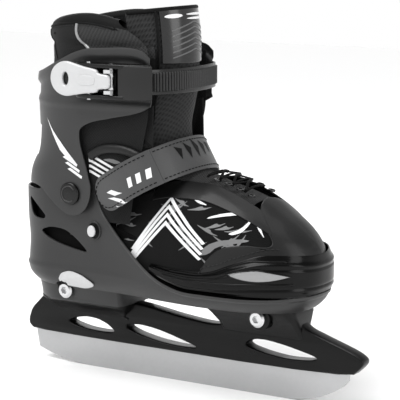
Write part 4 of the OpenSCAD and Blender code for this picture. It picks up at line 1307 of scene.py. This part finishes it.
# ---- plain looks of the pieces that stay as designed
KEPT = ((METAL,
         "heel_bolt heel_nut toe_bolt toe_nut blade_pins base_rivets lever_pin pawl_pin lever_spring"),
        (METAL, "pawl ladder_screw button_spring strap_anchor"), (FOAM, "footbed"),
        (BLACK_PLASTIC, "eyelets button_housing toe_sole size_rack"))
for surface_material, node_names in KEPT:
    for node_name in node_names.split():
        node_mesh = frame["nodes"][node_name].data
        node_mesh.materials.clear()
        node_mesh.materials.append(surface_material)

shell_surface = Surface(lower_shell())
heel_post()
cuff_surface = Surface(cuff())
rand_seam(toe_piece())
rand()
tongue()
tongue_label()
laces()
lining()
liner_gusset()
inner_boot()
straps()
ladder()
buckle()
holder()
blade()
vamps = {side: Surface(bpy.data.objects[f"vamp_{name}_skin"]) for side, name in SIDES}
trims(shell_surface, cuff_surface, vamps)


# ---- floor, light and camera
def stage():
    white = bpy.data.materials.new("floor_white")
    white.use_nodes = True
    white.node_tree.nodes["Principled BSDF"].inputs["Base Color"].default_value = (0.95, 0.95, 0.95, 1)
    white.node_tree.nodes["Principled BSDF"].inputs["Roughness"].default_value = 0.8
    corners = [(-FLOOR, -FLOOR, 0), (FLOOR, -FLOOR, 0), (FLOOR, FLOOR, 0), (-FLOOR, FLOOR, 0)]
    floor = add_mesh("floor", corners, [(0, 1, 2, 3)], white)
    world = bpy.data.worlds.new("studio")
    bpy.context.scene.world = world
    world.use_nodes = True
    nodes, links = world.node_tree.nodes, world.node_tree.links
    where = nodes.new("ShaderNodeTexCoord")
    split = nodes.new("ShaderNodeSeparateXYZ")
    steps = nodes.new("ShaderNodeValToRGB")
    steps.color_ramp.elements[0].position = 0.24
    steps.color_ramp.elements[0].color = (1, 1, 1, 1)
    steps.color_ramp.elements[1].position = 0.55
    steps.color_ramp.elements[1].color = (0.36, 0.36, 0.36, 1)
    links.new(where.outputs["Generated"], split.inputs["Vector"])
    links.new(split.outputs["Z"], steps.inputs["Fac"])
    links.new(steps.outputs["Color"], nodes["Background"].inputs["Color"])
    sun_data = bpy.data.lights.new("sun", "SUN")
    sun_data.energy = 2.1
    sun_data.angle = math.radians(40)
    sun = bpy.data.objects.new("sun", sun_data)
    sun.rotation_euler = (math.radians(28), math.radians(-14), 0)
    link(sun)

    def area(name, place, size, power):
        data = bpy.data.lights.new(name, "AREA")
        data.shape = "RECTANGLE"
        data.size = size[0]
        data.size_y = size[1]
        data.energy = power
        o = bpy.data.objects.new(name, data)
        o.location = place
        o.rotation_euler = (Vector((0, 0, 0.13)) - Vector(place)).to_track_quat("-Z", "Y").to_euler()
        link(o)
    area("key", (-0.5, -1.0, 1.1), (0.9, 0.7), 5)
    area("top", (0.3, 0.2, 1.5), (1.2, 0.9), 5)
    area("rim", (1.1, -0.2, 0.6), (0.5, 0.9), 4)
    area("back", (-0.8, 0.9, 0.8), (0.8, 0.8), 4)
    azimuth, elevation, distance = math.radians(32), math.radians(9.4), 1.2
    target = Vector((0.0086, 0, 0.1339))
    flat = math.cos(elevation)
    away = Vector((math.sin(azimuth) * flat, -math.cos(azimuth) * flat, math.sin(elevation)))
    data = bpy.data.cameras.new("camera")
    data.lens = 152.3
    data.sensor_width = 36
    camera = bpy.data.objects.new("camera", data)
    camera.location = target + away * distance
    camera.rotation_euler = (-away).to_track_quat("-Z", "Y").to_euler()
    link(camera)
    bpy.context.scene.camera = camera
    bpy.context.scene.view_settings.view_transform = "Standard"


stage()
